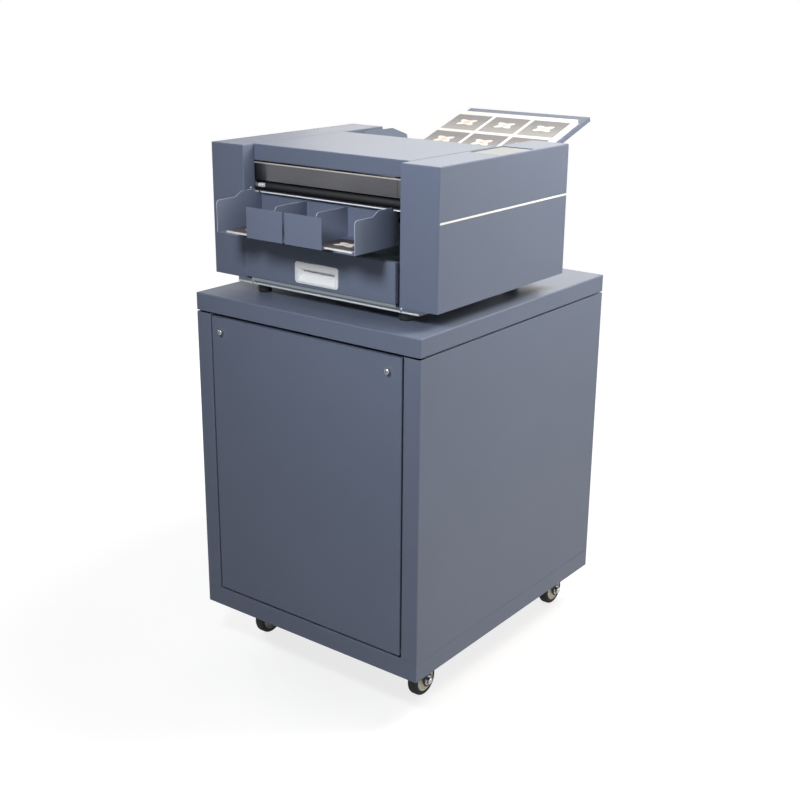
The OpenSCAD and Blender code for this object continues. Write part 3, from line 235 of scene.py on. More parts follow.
def printed_ink(name, c, pale, dark):
    """Card print on the piece's own UV map: a ground that pales towards the near edge, with a motif."""
    mat, tree, shader = start_material(name, pale, 0.5)
    spot = add_node(tree, "ShaderNodeUVMap", uv_map="print").outputs["UV"]
    coords = add_node(tree, "ShaderNodeTexCoord").outputs["Object"]
    clouds = {"Vector": coords, "Scale": 1 / (TONER_MM * MM), "Detail": 3.0}
    tone = add_node(tree, "ShaderNodeTexNoise", clouds).outputs["Fac"]
    along = add_node(tree, "ShaderNodeSeparateXYZ", {"Vector": spot}).outputs["Y"]
    fade = add_node(tree, "ShaderNodeMath", {0: tone, 1: 0.35, 2: along}, operation="MULTIPLY_ADD")
    ground = add_node(tree, "ShaderNodeValToRGB", {"Fac": fade.outputs["Value"]})
    reach = {}
    for k, turn in enumerate(LEAF_TURNS):
        leaf_at = {"Vector": spot, "Location": (0.5, 0.5, 0), "Rotation": (0, 0, turn), "Scale": LEAF_SIZE}
        turned = add_node(tree, "ShaderNodeMapping", leaf_at, vector_type="TEXTURE").outputs["Vector"]
        length = add_node(tree, "ShaderNodeVectorMath", {0: turned}, operation="LENGTH")
        reach[k] = length.outputs["Value"]
    near = add_node(tree, "ShaderNodeMath", reach, operation="MINIMUM").outputs["Value"]
    petal = add_node(tree, "ShaderNodeValToRGB", {"Fac": near})
    # The ground and the petals each run between two places, from one colour to another
    for node, stops in ((ground, ((0.3, pale), (0.95, dark))), (petal, ((0.2, c.blush), (0.5, c.motif)))):
        for element, (position, colour) in zip(node.color_ramp.elements, stops):
            element.position = position
            element.color = (*colour, 1)
    rim = {"Value": near, "From Min": 1.06, "From Max": 0.98, "To Min": 0.0, "To Max": 1.0}
    inside = add_node(tree, "ShaderNodeMapRange", rim).outputs["Result"]
    blend = {0: inside, 6: ground.outputs["Color"], 7: petal.outputs["Color"]}
    ink = add_node(tree, "ShaderNodeMix", blend, data_type="RGBA")
    tree.links.new(ink.outputs[2], shader.inputs["Base Color"])
    return mat


def make_finishes(c):
    """Every finish by name: roughness, grain and bump in mm, spread of tone, metal, stretch, IOR."""
    return {
        # Polyester powder coat on sheet steel: a satin sheen over fine orange peel, drawn coarse to show
        "paint": surface("slate_powder_coat", c.paint, 0.42, 3.0, 0.03, 0.035, ior=1.33),
        # Solid rubber tyre, moulded: matte with faint cloudiness
        "tyre": surface("moulded_tyre_rubber", c.tyre, 0.7, 2.0, 0.05, 0.12),
        # Nylon hub, moulded: cream raised near white as painted light in the shade under the cabinet,
        # slightly glossy
        "hub": surface("nylon_hub_painted_light", c.hub, 0.4, 4.0, 0.02, 0.04, ior=1.53),
        # Stoved black enamel on pressed steel
        "enamel": surface("black_stove_enamel", c.enamel, 0.35, 3.0, 0.02, 0.1),
        # Ground roller rubber and moulded feet
        "rubber": surface("ground_black_rubber", c.rubber, 0.62, 1.5, 0.03, 0.1),
        # Stainless sheet brushed along X: long fine scratches, its grey darkened as painted shade for the dim
        # surroundings it reflects
        "stainless": surface(
            "brushed_stainless_darkened_as_shade", c.stainless, 0.34, 1.2, 0.01, 0.12, 1.0, (0.02, 1, 1)
        ),
        # Bright zinc plate: bluish, softly clouded
        "zinc": surface("bright_zinc_plate", c.zinc, 0.34, 6.0, 0.01, 0.06, 1.0),
        # Near-white metal that shows pale from every side: a painted highlight on the guide's nose, the lip's
        # bead, the shaft's ends and the guide's screws
        "aluminium": surface(
            "pale_aluminium_painted_highlight", c.aluminium, 0.4, 1.5, 0.01, 0.02, 0.15, (0.05, 1, 1)
        ),
        # Exit guide plate drawn dark as painted shade, the roller's shadow over it, with a low sheen
        "dark_guide": surface("guide_plate_painted_shade", c.guide, 0.5, 1.5, 0.01, 0.08, 0.2),
        # Galvanised sheet: a dull grey-green skin of zinc, darkened as painted shade under the drawer
        "galvanised_and_shade": surface("galvanised_sheet_painted_shade", c.galvanised_and_shade, 0.4, 6.0, 0.01, 0.08, 1.0),
        # Pale coat on the tray plates' cut edges: painted highlight where the edges catch the light, smooth
        "rim": surface("tray_edge_painted_highlight", c.rim, 0.4, 2.0, 0.01, 0.05),
        # Touch screen behind matt film: grey, with a soft gloss
        "screen": surface("matt_screen_film", c.screen, 0.45, 4.0, 0.004, 0.02, ior=1.38),
        # Sheared and folded edge of stainless sheet, bare and bright
        "edge": surface("bare_folded_edge", c.edge, 0.36, 1.2, 0.01, 0.06, 0.6, (0.03, 1, 1)),
        # Ground steel shafts and knives
        "steel": surface("ground_steel", c.steel, 0.25, 1.0, 0.005, 0.06, 1.0, (1, 0.05, 1)),
        # Chromium plate on turned brass
        "chrome": surface("chromium_plate", c.steel, 0.12, 5.0, 0.002, 0.03, 1.0),
        # Acetal gears and pulleys, moulded: milky with a low sheen
        "acetal": surface("moulded_acetal", c.acetal, 0.45, 3.0, 0.02, 0.04, ior=1.48),
        # White ABS, moulded: even, half gloss
        "shell": surface("moulded_white_abs", c.shell, 0.36, 2.5, 0.015, 0.02, ior=1.53),
        # Black ABS, moulded
        "black": surface("moulded_black_abs", c.black, 0.45, 2.0, 0.02, 0.1, ior=1.53),
        # Coated card stock: matte, white
        "paper": surface("coated_card_stock", c.paper, 0.6, 2.0, 0.01, 0.015),
        # Toner print on card stock: a grey ground with a pale motif, half matte
        "ink": printed_ink("toner_print", c, c.print_pale, c.print_dark),
        # The same toner drawn much darker, as painted shade of the tray over the cards in the bins
        "deep_ink": printed_ink("toner_print_painted_shade", c, c.card_shade_near, c.card_shade_far),
        # Blackened steel brackets at the guard's ends
        "bracket": surface("blackened_steel", c.bracket, 0.45, 3.0, 0.01, 0.08, 1.0),
    }


finishes = {}

NODE_FINISH = {
    "paint": (
        "cabinet_base cabinet_body cabinet_top cabinet_door left_cover right_cover top_cover rear_panel "
        "card_tray drawer_front feed_tray tray_arms feed_guides"
    ),
    "chrome": "lock_barrels lock_cam_left lock_cam_right cover_pins door_pins",
    "zinc": "castor_plates drawer_box power_supply",
    "galvanised_and_shade": "base_plate",
    "enamel": "castor_fork_fl castor_fork_fr castor_fork_rl castor_fork_rr drive_motor blade_motor",
    "rubber": "machine_feet exit_sleeve exit_pinch feed_roller feed_pinch drive_belts",
    "stainless": "exit_guard left_frame right_frame feed_table blade_crank",
    "dark_guide": "exit_guide",
    "steel": "exit_shaft lower_knives upper_knives cross_bed cross_blade motor_pulley",
    "acetal": "knife_drive upper_gear feed_pulley exit_pulley",
    "shell": "drawer_pull",
    "screen": "touch_panel",
    "black": "power_inlet power_rocker",
    "tyre": "castor_wheel_fl castor_wheel_fr castor_wheel_rl castor_wheel_rr",
    "paper": "cut_cards print_sheet",
}


def link(name, data):
    """New object in the scene."""
    obj = bpy.data.objects.new(name, data)
    bpy.context.scene.collection.objects.link(obj)
    return obj


def soften(mesh, degrees):
    """Smooth shading up to an edge angle."""
    mesh.polygons.foreach_set("use_smooth", [True] * len(mesh.polygons))
    mesh.set_sharp_from_angle(angle=math.radians(degrees))


def bm_object(name, bm, finish="", smooth=SMOOTH, mend=True):
    """Object of a bmesh, with its finishes in the order of the faces' material numbers."""
    if mend:
        bmesh.ops.remove_doubles(bm, verts=bm.verts, dist=WELD)
        bmesh.ops.recalc_face_normals(bm, faces=bm.faces)
    mesh = bpy.data.meshes.new(name)
    bm.to_mesh(mesh)
    bm.free()
    obj = link(name, mesh)
    for word in finish.split():
        mesh.materials.append(finishes[word])
    soften(mesh, smooth)
    return obj


def place(obj, body, slot, *replaced):
    """Makes a piece ride on a body and hides the CAD nodes that it stands for. The slot is not used."""
    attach(obj, body)
    if replaced:
        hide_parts(*replaced)


def piece(name, bm, finish, body, slot, *replaced, smooth=SMOOTH):
    """Finished piece of a bmesh."""
    place(bm_object(name, bm, finish, smooth), body, slot, *replaced)


def merged_copy(node):
    """Mesh of a CAD node, merged and with its flat faces whole, to be worked on."""
    bm = bmesh.new()
    bm.from_mesh(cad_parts[node].data)
    bmesh.ops.remove_doubles(bm, verts=bm.verts, dist=WELD)
    bmesh.ops.dissolve_limit(bm, angle_limit=math.radians(0.5), verts=bm.verts, edges=bm.edges)
    return bm


def bake_modifiers(obj, smooth=SMOOTH):
    """Turns an object with modifiers into a plain mesh."""
    evaluated = obj.evaluated_get(bpy.context.evaluated_depsgraph_get())
    mesh = bpy.data.meshes.new_from_object(evaluated)
    obj.modifiers.clear()
    obj.data = mesh
    soften(mesh, smooth)
    return obj


def bevel(obj, width_mm, segments, angle=30):
    """Rounds the edges of an object that are sharper than an angle."""
    mod = obj.modifiers.new("soft_edges", "BEVEL")
    mod.width = width_mm * MM
    mod.segments = segments
    mod.limit_method = "ANGLE"
    mod.angle_limit = math.radians(angle)


def rounded_outline(w, h, r, steps=6):
    """Corner-rounded rectangle in two axes, anticlockwise."""
    points = []
    for sx, sy, start in ((1, 1, 0), (-1, 1, 90), (-1, -1, 180), (1, -1, 270)):
        for k in range(steps + 1):
            a = math.radians(start + 90 * k / steps)
            points.append((sx * (w / 2 - r) + r * math.cos(a), sy * (h / 2 - r) + r * math.sin(a)))
    return points


def bridge(bm, a, b):
    """Skins the gap between two rings of vertices."""
    n = len(a)
    for i in range(n):
        bm.faces.new((a[i], a[(i + 1) % n], b[(i + 1) % n], b[i]))


def loft(bm, loops):
    """Skins closed loops of equal length, with capped ends."""
    rings = [[bm.verts.new(p) for p in loop] for loop in loops]
    for a, b in zip(rings, rings[1:]):
        bridge(bm, a, b)
    bm.faces.new(rings[0])
    bm.faces.new(rings[-1])


def block(bm, x0, x1, y0, y1, z0, z1):
    """Plain block, as a blank for cuts and rounded edges."""
    loft(bm, [[(x0, y, z0), (x1, y, z0), (x1, y, z1), (x0, y, z1)] for y in (y0, y1)])


def pad(bm, mid_x, mid_z, outline, levels):
    """Skins an outline of X and Z through levels, each a place along Y and the outline's share there."""
    loft(bm, [[(mid_x + x * share, y, mid_z + z * share) for x, z in outline] for y, share in levels])


def lathe(bm, centre, profile, axis="x", steps=72):
    """Turns a closed profile of (distance along, radius) about an axis along X or Y."""
    rings = []
    for k in range(steps):
        a = 2 * math.pi * k / steps
        spots = [(along, r * math.cos(a), r * math.sin(a)) for along, r in profile]
        if axis == "y":
            spots = [(p, along, q) for along, p, q in spots]
        rings.append([bm.verts.new(Vector(centre) + Vector(spot)) for spot in spots])
    for k in range(steps):
        bridge(bm, rings[k], rings[(k + 1) % steps])


def edge_bar(bm, x0, x1, y0, y1, z0, z1, r, steps=5):
    """Bar along X with rounded long edges."""
    outline = rounded_outline(y1 - y0, z1 - z0, r, steps)
    mid_y, mid_z = (y0 + y1) / 2, (z0 + z1) / 2
    loft(bm, [[(x, mid_y + y, mid_z + z) for y, z in outline] for x in (x0, x1)])


def edge_rod(bm, x, path, r, steps=8):
    """Round edge along points of Y and Z in a plane across X."""
    points = [Vector(p) for p in path]
    turns = [2 * math.pi * k / steps for k in range(steps)]
    loops = []
    for i, p in enumerate(points):
        along = (points[min(i + 1, len(points) - 1)] - points[max(i - 1, 0)]).normalized()
        spots = [(r * math.cos(a), p + Vector((-along.y, along.x)) * (r * math.sin(a))) for a in turns]
        loops.append([(x + out, q.x, q.y) for out, q in spots])
    loft(bm, loops)


def corner_arc(y, z, r, steps=6):
    """Points of Y and Z round a plate's upper front corner."""
    turns = [math.radians(90 * k / steps) for k in range(steps + 1)]
    return [(y + r * (1 - math.cos(a)), z - r * (1 - math.sin(a))) for a in turns]


def start_tree(name, lengths, counts=()):
    """Geometry tree with named lengths, counts and a finish. Gives the tree, its inputs and its end."""
    tree = bpy.data.node_groups.new(name, "GeometryNodeTree")
    kinds = {"Geometry": "Geometry", **dict.fromkeys(lengths, "Float"), **dict.fromkeys(counts, "Int")}
    for socket, kind in {**kinds, "Finish": "Material"}.items():
        tree.interface.new_socket(socket, in_out="INPUT", socket_type="NodeSocket" + kind)
    tree.interface.new_socket("Geometry", in_out="OUTPUT", socket_type="NodeSocketGeometry")
    return tree, add_node(tree, "NodeGroupInput").outputs, add_node(tree, "NodeGroupOutput")


def end_tree(tree, shape, given, out, turned=True):
    """Sets a shape on every point, along its facing if it is turned, as real, dressed geometry."""
    inputs = {"Points": given["Geometry"], "Instance": shape}
    if turned:
        named = {"Name": "facing"}
        facing = add_node(tree, "GeometryNodeInputNamedAttribute", named, data_type="FLOAT_VECTOR")
        towards = {"Vector": facing.outputs["Attribute"]}
        turn = add_node(tree, "FunctionNodeAlignRotationToVector", towards, axis="Z")
        inputs["Rotation"] = turn.outputs["Rotation"]
    spread = add_node(tree, "GeometryNodeInstanceOnPoints", inputs).outputs["Instances"]
    real = add_node(tree, "GeometryNodeRealizeInstances", {"Geometry": spread}).outputs["Geometry"]
    dressed = add_node(tree, "GeometryNodeSetMaterial", {"Geometry": real, "Material": given["Finish"]})
    tree.links.new(dressed.outputs["Geometry"], out.inputs["Geometry"])


def grow(name, points, facing, tree, values):
    """Runs a tree on points, each with the direction it faces, and keeps the result as a plain mesh."""
    mesh = bpy.data.meshes.new(name)
    mesh.from_pydata([tuple(p) for p in points], [], [])
    if facing:
        layer = mesh.attributes.new("facing", "FLOAT_VECTOR", "POINT")
        layer.data.foreach_set("vector", [x for v in facing for x in v])
    obj = link(name, mesh)
    mod = obj.modifiers.new("growth", "NODES")
    mod.node_group = tree
    for item in tree.interface.items_tree:
        if item.item_type == "SOCKET" and item.in_out == "INPUT" and item.name in values:
            mod[item.identifier] = values[item.name]
    bpy.context.view_layer.update()
    return bake_modifiers(obj)


def screw_tree():
    """Pan-head screws with a cross recess, one on each point, along its facing."""
    tree, given, out = start_tree("pan_head_screws", ("Radius", "Height"))
    r, h, slot = given["Radius"], given["Height"], 0.9 * MM
    crown = add_node(tree, "ShaderNodeMath", {0: r, 1: 0.72}, operation="MULTIPLY").outputs["Value"]
    shape = {"Vertices": 24, "Side Segments": 2, "Radius Top": crown, "Radius Bottom": r, "Depth": h}
    head = add_node(tree, "GeometryNodeMeshCone", shape).outputs["Mesh"]
    solid = add_node(tree, "GeometryNodeMeshBoolean", {0: head}, operation="DIFFERENCE")
    lift = add_node(tree, "ShaderNodeCombineXYZ", {"Z": h}).outputs["Vector"]
    for x, y in ((r, slot), (slot, r)):
        size = add_node(tree, "ShaderNodeCombineXYZ", {"X": x, "Y": y, "Z": h}).outputs["Vector"]
        bar = add_node(tree, "GeometryNodeMeshCube", {"Size": size}).outputs["Mesh"]
        up = add_node(tree, "GeometryNodeTransform", {"Geometry": bar, "Translation": lift})
        tree.links.new(up.outputs["Geometry"], solid.inputs[1])
    end_tree(tree, solid.outputs["Mesh"], given, out)
    return tree


def nut_tree():
    """Domed hexagon nuts on a washer, one on each point, along its facing."""
    tree, given, out = start_tree("hexagon_nuts", ("Radius", "Height"))
    r, h = given["Radius"], given["Height"]
    join = add_node(tree, "GeometryNodeJoinGeometry")
    # Washer, hexagon, its chamfer and the domed end: corners, lower and upper radius, depth, middle as shares
    for corners, low, high, depth, at in (
        (32, 1.3, 1.3, 0.1, 0.0),
        (6, 1.0, 1.0, 0.96, 0.5),
        (6, 1.0, 0.8, 0.12, 1.02),
        (24, 0.78, 0.62, 0.14, 1.12),
        (24, 0.62, 0.3, 0.12, 1.24),
    ):
        parts = []
        for length, share in ((r, low), (r, high), (h, depth), (h, at - depth / 2)):
            part = add_node(tree, "ShaderNodeMath", {0: length, 1: share}, operation="MULTIPLY")
            parts.append(part.outputs["Value"])
        bottom, top, deep, rise = parts
        shape = {"Vertices": corners, "Radius Bottom": bottom, "Radius Top": top, "Depth": deep}
        disc = add_node(tree, "GeometryNodeMeshCone", shape).outputs["Mesh"]
        lift = add_node(tree, "ShaderNodeCombineXYZ", {"Z": rise}).outputs["Vector"]
        up = add_node(tree, "GeometryNodeTransform", {"Geometry": disc, "Translation": lift})
        tree.links.new(up.outputs["Geometry"], join.inputs["Geometry"])
    end_tree(tree, join.outputs["Geometry"], given, out)
    return tree


class CUTTER_OT_finish_frame(bpy.types.Operator):
    """Give every CAD node its finish"""

    bl_idname = "cutter.finish_frame"
    bl_label = "Finish the CAD frame"

    def execute(self, context):
        finishes.update(make_finishes(context.scene.cutter_colours))
        named = {node: finish for finish, nodes in NODE_FINISH.items() for node in nodes.split()}
        for node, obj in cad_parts.items():
            obj.data.materials.clear()
            obj.data.materials.append(finishes[named[node]])
        return {"FINISHED"}


class CUTTER_OT_castor_wheels(bpy.types.Operator):
    """Make the castors' tyres and hubs"""

    bl_idname = "cutter.castor_wheels"
    bl_label = "Castor wheels"

    def execute(self, context):
        shoulder = 7 * MM
        for corner in CORNERS:
            node = "castor_wheel_" + corner
            lo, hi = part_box(node)
            mid = (lo + hi) / 2
            w, r = (hi.x - lo.x) / 2, (hi.z - lo.z) / 2
            tyre = [(-w + 3 * MM, r - 11.6 * MM), (-w + 0.5 * MM, r - 10.8 * MM)]
            for a in (math.radians(10 * k) for k in range(10)):
                tyre.append((-w + shoulder * (1 - math.cos(a)), r - shoulder * (1 - math.sin(a))))
            # Cream hub: a raised rim, a sloping dish and a boss that runs on the axle
            rim = r / MM - 10.9
            dish = ((0.7, rim), (0.3, rim - 0.6), (0.5, rim - 1.4), (3.5, rim - 3), (5.5, rim - 6))
            boss = ((5.8, 15.0), (1.2, 13.0), (0.4, 12.2), (0.4, 4.05))
            hub = [(w - depth * MM, radius * MM) for depth, radius in dish + boss]
            for name, half, finish, slot, replaced in (
                ("castor_tyre_", tyre, "tyre", "castor_tyre", (node,)),
                ("castor_hub_", hub, "hub", "white_plastic", ()),
            ):
                bm = bmesh.new()
                lathe(bm, mid, half + [(-x, y) for x, y in reversed(half)])
                piece(name + corner, bm, finish, "wheel_" + corner, slot, *replaced)
        return {"FINISHED"}


class CUTTER_OT_castor_nuts(bpy.types.Operator):
    """Make the fork bosses and the nuts on the castors' axles"""

    bl_idname = "cutter.castor_nuts"
    bl_label = "Castor nuts"

    def execute(self, context):
        tree = nut_tree()
        sizes = context.scene.cutter_sizes
        values = {"Radius": sizes.nut_r, "Height": sizes.nut_h, "Finish": finishes["chrome"]}
        proud = 1.5
        # A pressed boss stands out of each fork leg, under the nut: distance along and radius in mm
        boss = ((-0.5, 4.2), (-0.5, 15.0), (0.6, 15.0), (proud, 13.6), (proud, 4.2))
        for corner in CORNERS:
            lo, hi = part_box("castor_wheel_" + corner)
            mid = (lo + hi) / 2
            leg = (hi.x - lo.x) / 2 + 5 * MM
            bm = bmesh.new()
            for side in SIDES:
                lathe(bm, mid, [(side * (leg + along * MM), radius * MM) for along, radius in boss])
            piece("fork_bosses_" + corner, bm, "enamel", "fork_" + corner, "black_enamel")
            points = [mid + Vector((side * (leg + proud * MM), 0, 0)) for side in SIDES]
            nuts = grow("castor_nuts_" + corner, points, [(side, 0, 0) for side in SIDES], tree, values)
            place(nuts, "fork_" + corner, "bright_chrome")
        return {"FINISHED"}


class CUTTER_OT_screws(bpy.types.Operator):
    """Make the pan-head screws"""

    bl_idname = "cutter.screws"
    bl_label = "Screws"

    def execute(self, context):
        tree = screw_tree()
        sizes = context.scene.cutter_sizes
        values = {"Radius": sizes.screw_r, "Height": sizes.screw_h, "Finish": finishes["zinc"]}
        lift, sheet = sizes.screw_h / 2, 1.5 * MM
        lo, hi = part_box("exit_guide")
        ends = ((lo.x + sheet, 1), (hi.x - sheet, -1))
        small = [((x, lo.y + 10 * MM, hi.z - 6 * MM), (inwards, 0, 0)) for x, inwards in ends]
        large = []
        lo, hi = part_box("rear_panel")
        for x in (lo.x + 12 * MM, (lo.x + hi.x) / 2, hi.x - 12 * MM):
            large += [((x, hi.y, z), (0, 1, 0)) for z in (lo.z + 12 * MM, hi.z - 40 * MM)]
        for cover in ("left_cover", "right_cover"):
            lo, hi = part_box(cover)
            levels = (lo.z + 22 * MM, (lo.z + hi.z) / 2, hi.z - 22 * MM)
            large += [(((lo.x + hi.x) / 2, hi.y, z), (0, 1, 0)) for z in levels]
        # Each castor plate has a screw near every corner, under the plate
        lo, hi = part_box("castor_plates")
        half_x, half_y, hole_x, hole_y = 41 * MM, 31 * MM, 33 * MM, 23 * MM
        under = hi.z - 3 * MM
        for cx in (lo.x + half_x, hi.x - half_x):
            for cy in (lo.y + half_y, hi.y - half_y):
                for dx in SIDES:
                    large += [((cx + dx * hole_x, cy + dy * hole_y, under), (0, 0, -1)) for dy in SIDES]
        # The guide's screws take the pale finish, as a painted highlight
        own = {"Radius": sizes.screw_r * 0.62, "Finish": finishes["aluminium"]}
        for name, spots, changed in (("guide_screws", small, own), ("machine_screws", large, {})):
            points = [Vector(at) + Vector(normal) * lift for at, normal in spots]
            screws = grow(name, points, [normal for at, normal in spots], tree, {**values, **changed})
            place(screws, "chassis", "zinc_steel")
        return {"FINISHED"}


class CUTTER_OT_side_stripe(bpy.types.Operator):
    """Make the white stripe on the right cover"""

    bl_idname = "cutter.side_stripe"
    bl_label = "Side stripe"

    def execute(self, context):
        sizes = context.scene.cutter_sizes
        lo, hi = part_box("right_cover")
        z, h, margin = lo.z + sizes.stripe_z, sizes.stripe_h / 2, 3 * MM
        bm = bmesh.new()
        block(bm, hi.x, hi.x + sizes.stripe_t, lo.y + margin, hi.y - margin, z - h, z + h)
        stripe = bm_object("side_stripe", bm, "paper")
        bevel(stripe, 0.08, 2)
        place(bake_modifiers(stripe), "chassis", "white_plastic")
        return {"FINISHED"}


class CUTTER_OT_exit_edges(bpy.types.Operator):
    """Make the bare edge on the exit guard and the rounded nose of the exit guide"""

    bl_idname = "cutter.exit_edges"
    bl_label = "Exit edges"

    def execute(self, context):
        sizes = context.scene.cutter_sizes
        lo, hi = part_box("exit_guard")
        bm = bmesh.new()
        y0, y1, top = lo.y - 0.9 * MM, lo.y + 1.2 * MM, hi.z + 0.2 * MM
        edge_bar(bm, lo.x + 1 * MM, hi.x - 1 * MM, y0, y1, hi.z - sizes.edge_h, top, 0.8 * MM)
        piece("guard_edge", bm, "edge", "chassis", "bright_aluminium")

        # The nose has a gap at each end of the roller's sleeve
        lo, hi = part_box("exit_guide")
        left, right = (corner.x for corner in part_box("exit_sleeve"))
        r, front, low = sizes.nose_r, lo.y + 9 * MM, lo.z - 0.6 * MM
        inner, outer, end = 10 * MM, 4 * MM, 1.6 * MM
        bm = bmesh.new()
        for x0, x1 in (
            (left + inner, right - inner),
            (lo.x + end, left + outer),
            (right - outer, hi.x - end),
        ):
            edge_bar(bm, x0, x1, front - r, front + r, low, low + 2 * r, r * 0.98)
        # The nose is drawn pale from every side, as a painted highlight
        piece("guide_nose", bm, "aluminium", "chassis", "bright_aluminium")
        return {"FINISHED"}


class CUTTER_OT_exit_guide(bpy.types.Operator):
    """Make the exit guide with its painted end tabs"""

    bl_idname = "cutter.exit_guide"
    bl_label = "Exit guide"

    def execute(self, context):
        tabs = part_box("exit_guide")[1].x - 2 * MM
        bm = merged_copy("exit_guide")
        for face in bm.faces:
            if abs(face.calc_center_median().x) > tabs:
                face.material_index = 1
        # The plate is drawn dark as painted shade; its end tabs take the paint
        piece("exit_guide_plate", bm, "dark_guide paint", "chassis", "bright_aluminium", "exit_guide")
        return {"FINISHED"}


class CUTTER_OT_shaft_ends(bpy.types.Operator):
    """Make the grooved bushes on the exit shaft's ends"""

    bl_idname = "cutter.shaft_ends"
    bl_label = "Shaft ends"

    def execute(self, context):
        lo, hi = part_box("exit_sleeve")
        mid = (lo + hi) / 2
        gap = 0.7 * MM
        start = hi.x - mid.x + gap
        length = (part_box("right_frame")[0].x - hi.x - 2 * gap) / MM
        # Distance along and radius in mm: a land, a groove, a land and a chamfer over the shaft's bore
        bush = [(0, 3.3), (0, 4.6), (8, 4.6), (8.5, 3.8), (11, 3.8), (11.5, 4.6)]
        bush += [(length - 0.5, 4.6), (length, 4.1), (length, 3.3)]
        bm = bmesh.new()
        for side in SIDES:
            lathe(bm, mid, [(side * (start + along * MM), r * MM) for along, r in bush], steps=40)
        # The bushes are drawn pale, as a painted highlight
        piece("shaft_ends", bm, "aluminium", "exit_lower", "bright_aluminium")
        return {"FINISHED"}


class CUTTER_OT_card_tray(bpy.types.Operator):
    """Make the card tray's sheets and the dressed edges of its plates"""

    bl_idname = "cutter.card_tray"
    bl_label = "Card tray"

    def execute(self, context):
        sizes = context.scene.cutter_sizes
        half, sheet = sizes.tray_w / 2, 1.5 * MM
        lo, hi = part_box("card_tray")
        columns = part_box("left_cover")[0].y
        bm = merged_copy("card_tray")
        for side in SIDES:
            # The bent back ends flush with the side plates
            bmesh.ops.bisect_plane(
                bm,
                geom=[*bm.verts, *bm.edges, *bm.faces],
                plane_co=(side * (half + 0.05 * MM), 0, 0),
                plane_no=(side, 0, 0),
                clear_outer=True,
            )
            bmesh.ops.holes_fill(bm, edges=[e for e in bm.edges if e.is_boundary], sides=0)
            # The side plates run on to the bent back, below the exit guide
            start, end = columns + 6.5 * MM, hi.y - 0.2 * MM
            low, high = lo.z + 0.1 * MM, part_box("exit_guide")[0].z - 0.2 * MM
            outline = [(start, low), (end, low), (end, high), (start, high)]
            insets = (0.02 * MM, sheet - 0.02 * MM)
            loft(bm, [[(side * (half - inset), y, z) for y, z in outline] for inset in insets])
        piece("tray_sheets", bm, "paint", "chassis", "slate_paint", "card_tray")

        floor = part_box("cut_cards")[0].z
        step_h, step_y, step_run = 10 * MM, lo.y + 53 * MM, 18 * MM
        side_z = hi.z - step_h
        plate = [(lo.y, floor), *corner_arc(lo.y, side_z, 7 * MM)]
        plate += [(step_y, side_z), (step_y + step_run, hi.z), (columns + 7 * MM, hi.z)]
        divider_x, divider_y, divider_z = 54 * MM, lo.y + 36 * MM, floor + 60 * MM
        divider = [(divider_y, floor), *corner_arc(divider_y, divider_z, 8 * MM)]
        divider += [(hi.y - 0.5 * MM, divider_z)]
        bm = bmesh.new()
        for side in SIDES:
            edge_rod(bm, side * (half - sheet / 2), plate, sizes.rim_r)
            edge_rod(bm, side * divider_x, divider, sizes.rim_r)
        # The edges are drawn pale, as a painted highlight
        piece("tray_edges", bm, "rim", "chassis", "slate_paint")
        return {"FINISHED"}


class CUTTER_OT_feed_guides(bpy.types.Operator):
    """Make the feed guides, the right one lower than the cover"""

    bl_idname = "cutter.feed_guides"
    bl_label = "Feed guides"

    def execute(self, context):
        drop, band = context.scene.cutter_sizes.guide_drop, 28 * MM
        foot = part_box("feed_guides")[1].z - band
        bm = merged_copy("feed_guides")
        for vert in bm.verts:
            if vert.co.x > 0 and vert.co.z > foot:
                vert.co.z -= drop * (vert.co.z - foot) / band
        piece("feed_guide_plates", bm, "paint", "chassis", "slate_paint", "feed_guides")
        return {"FINISHED"}


class CUTTER_OT_touch_screen(bpy.types.Operator):
    """Make the touch panel's screen, nearly flush with the cover"""

    bl_idname = "cutter.touch_screen"
    bl_label = "Touch screen"

    def execute(self, context):
        lo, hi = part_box("touch_panel")
        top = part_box("right_cover")[1].z - 1.2 * MM
        mid = (lo + hi) / 2
        levels = ((hi.z - 0.2 * MM, 0.6), (top - 0.5 * MM, 0.6), (top - 0.15 * MM, 0.75), (top, 1.1))
        loops = []
        for z, inset in levels:
            outline = rounded_outline(hi.x - lo.x - 2 * inset * MM, hi.y - lo.y - 2 * inset * MM, 3 * MM)
            loops.append([(mid.x + x, mid.y + y, z) for x, y in outline])
        bm = bmesh.new()
        loft(bm, loops)
        piece("touch_screen", bm, "screen", "chassis", "white_plastic", smooth=10)
        return {"FINISHED"}


class CUTTER_OT_cabinet_edges(bpy.types.Operator):
    """Make the cabinet's slab, plinth and door with the soft edges of bent sheet"""

    bl_idname = "cutter.cabinet_edges"
    bl_label = "Cabinet edges"

    def execute(self, context):
        band, fold = 4 * MM, math.radians(50)
        # Node, piece, body, the axis that its show face looks along, its other axis, radius in mm
        for node, name, body, axis, other, radius in (
            ("cabinet_top", "top_slab", "chassis", 2, 1, 2.2),
            ("cabinet_base", "plinth", "chassis", 2, 1, 2.2),
            ("cabinet_door", "door_pan", "door", 1, 2, 1.1),
        ):
            lo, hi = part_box(node)
            level = hi.z if axis == 2 else lo.y
            bm = merged_copy(node)
            rim = []
            for edge in bm.edges:
                spots = [v.co for v in edge.verts]
                flat = all(abs(p[axis] - level) < 0.01 * MM for p in spots)
                if not flat or len(edge.link_faces) != 2 or edge.calc_face_angle() < fold:
                    continue
                if all(min(min(p[k] - lo[k], hi[k] - p[k]) for k in (0, other)) < band for p in spots):
                    rim.append(edge)
            bmesh.ops.bevel(
                bm, geom=rim, offset=radius * MM, segments=4, profile=0.5, affect="EDGES", clamp_overlap=False
            )
            # The CAD's own face directions stay, because the pan has closed hollows
            place(bm_object(name, bm, "paint", 1, mend=False), body, "slate_paint", node)
        return {"FINISHED"}


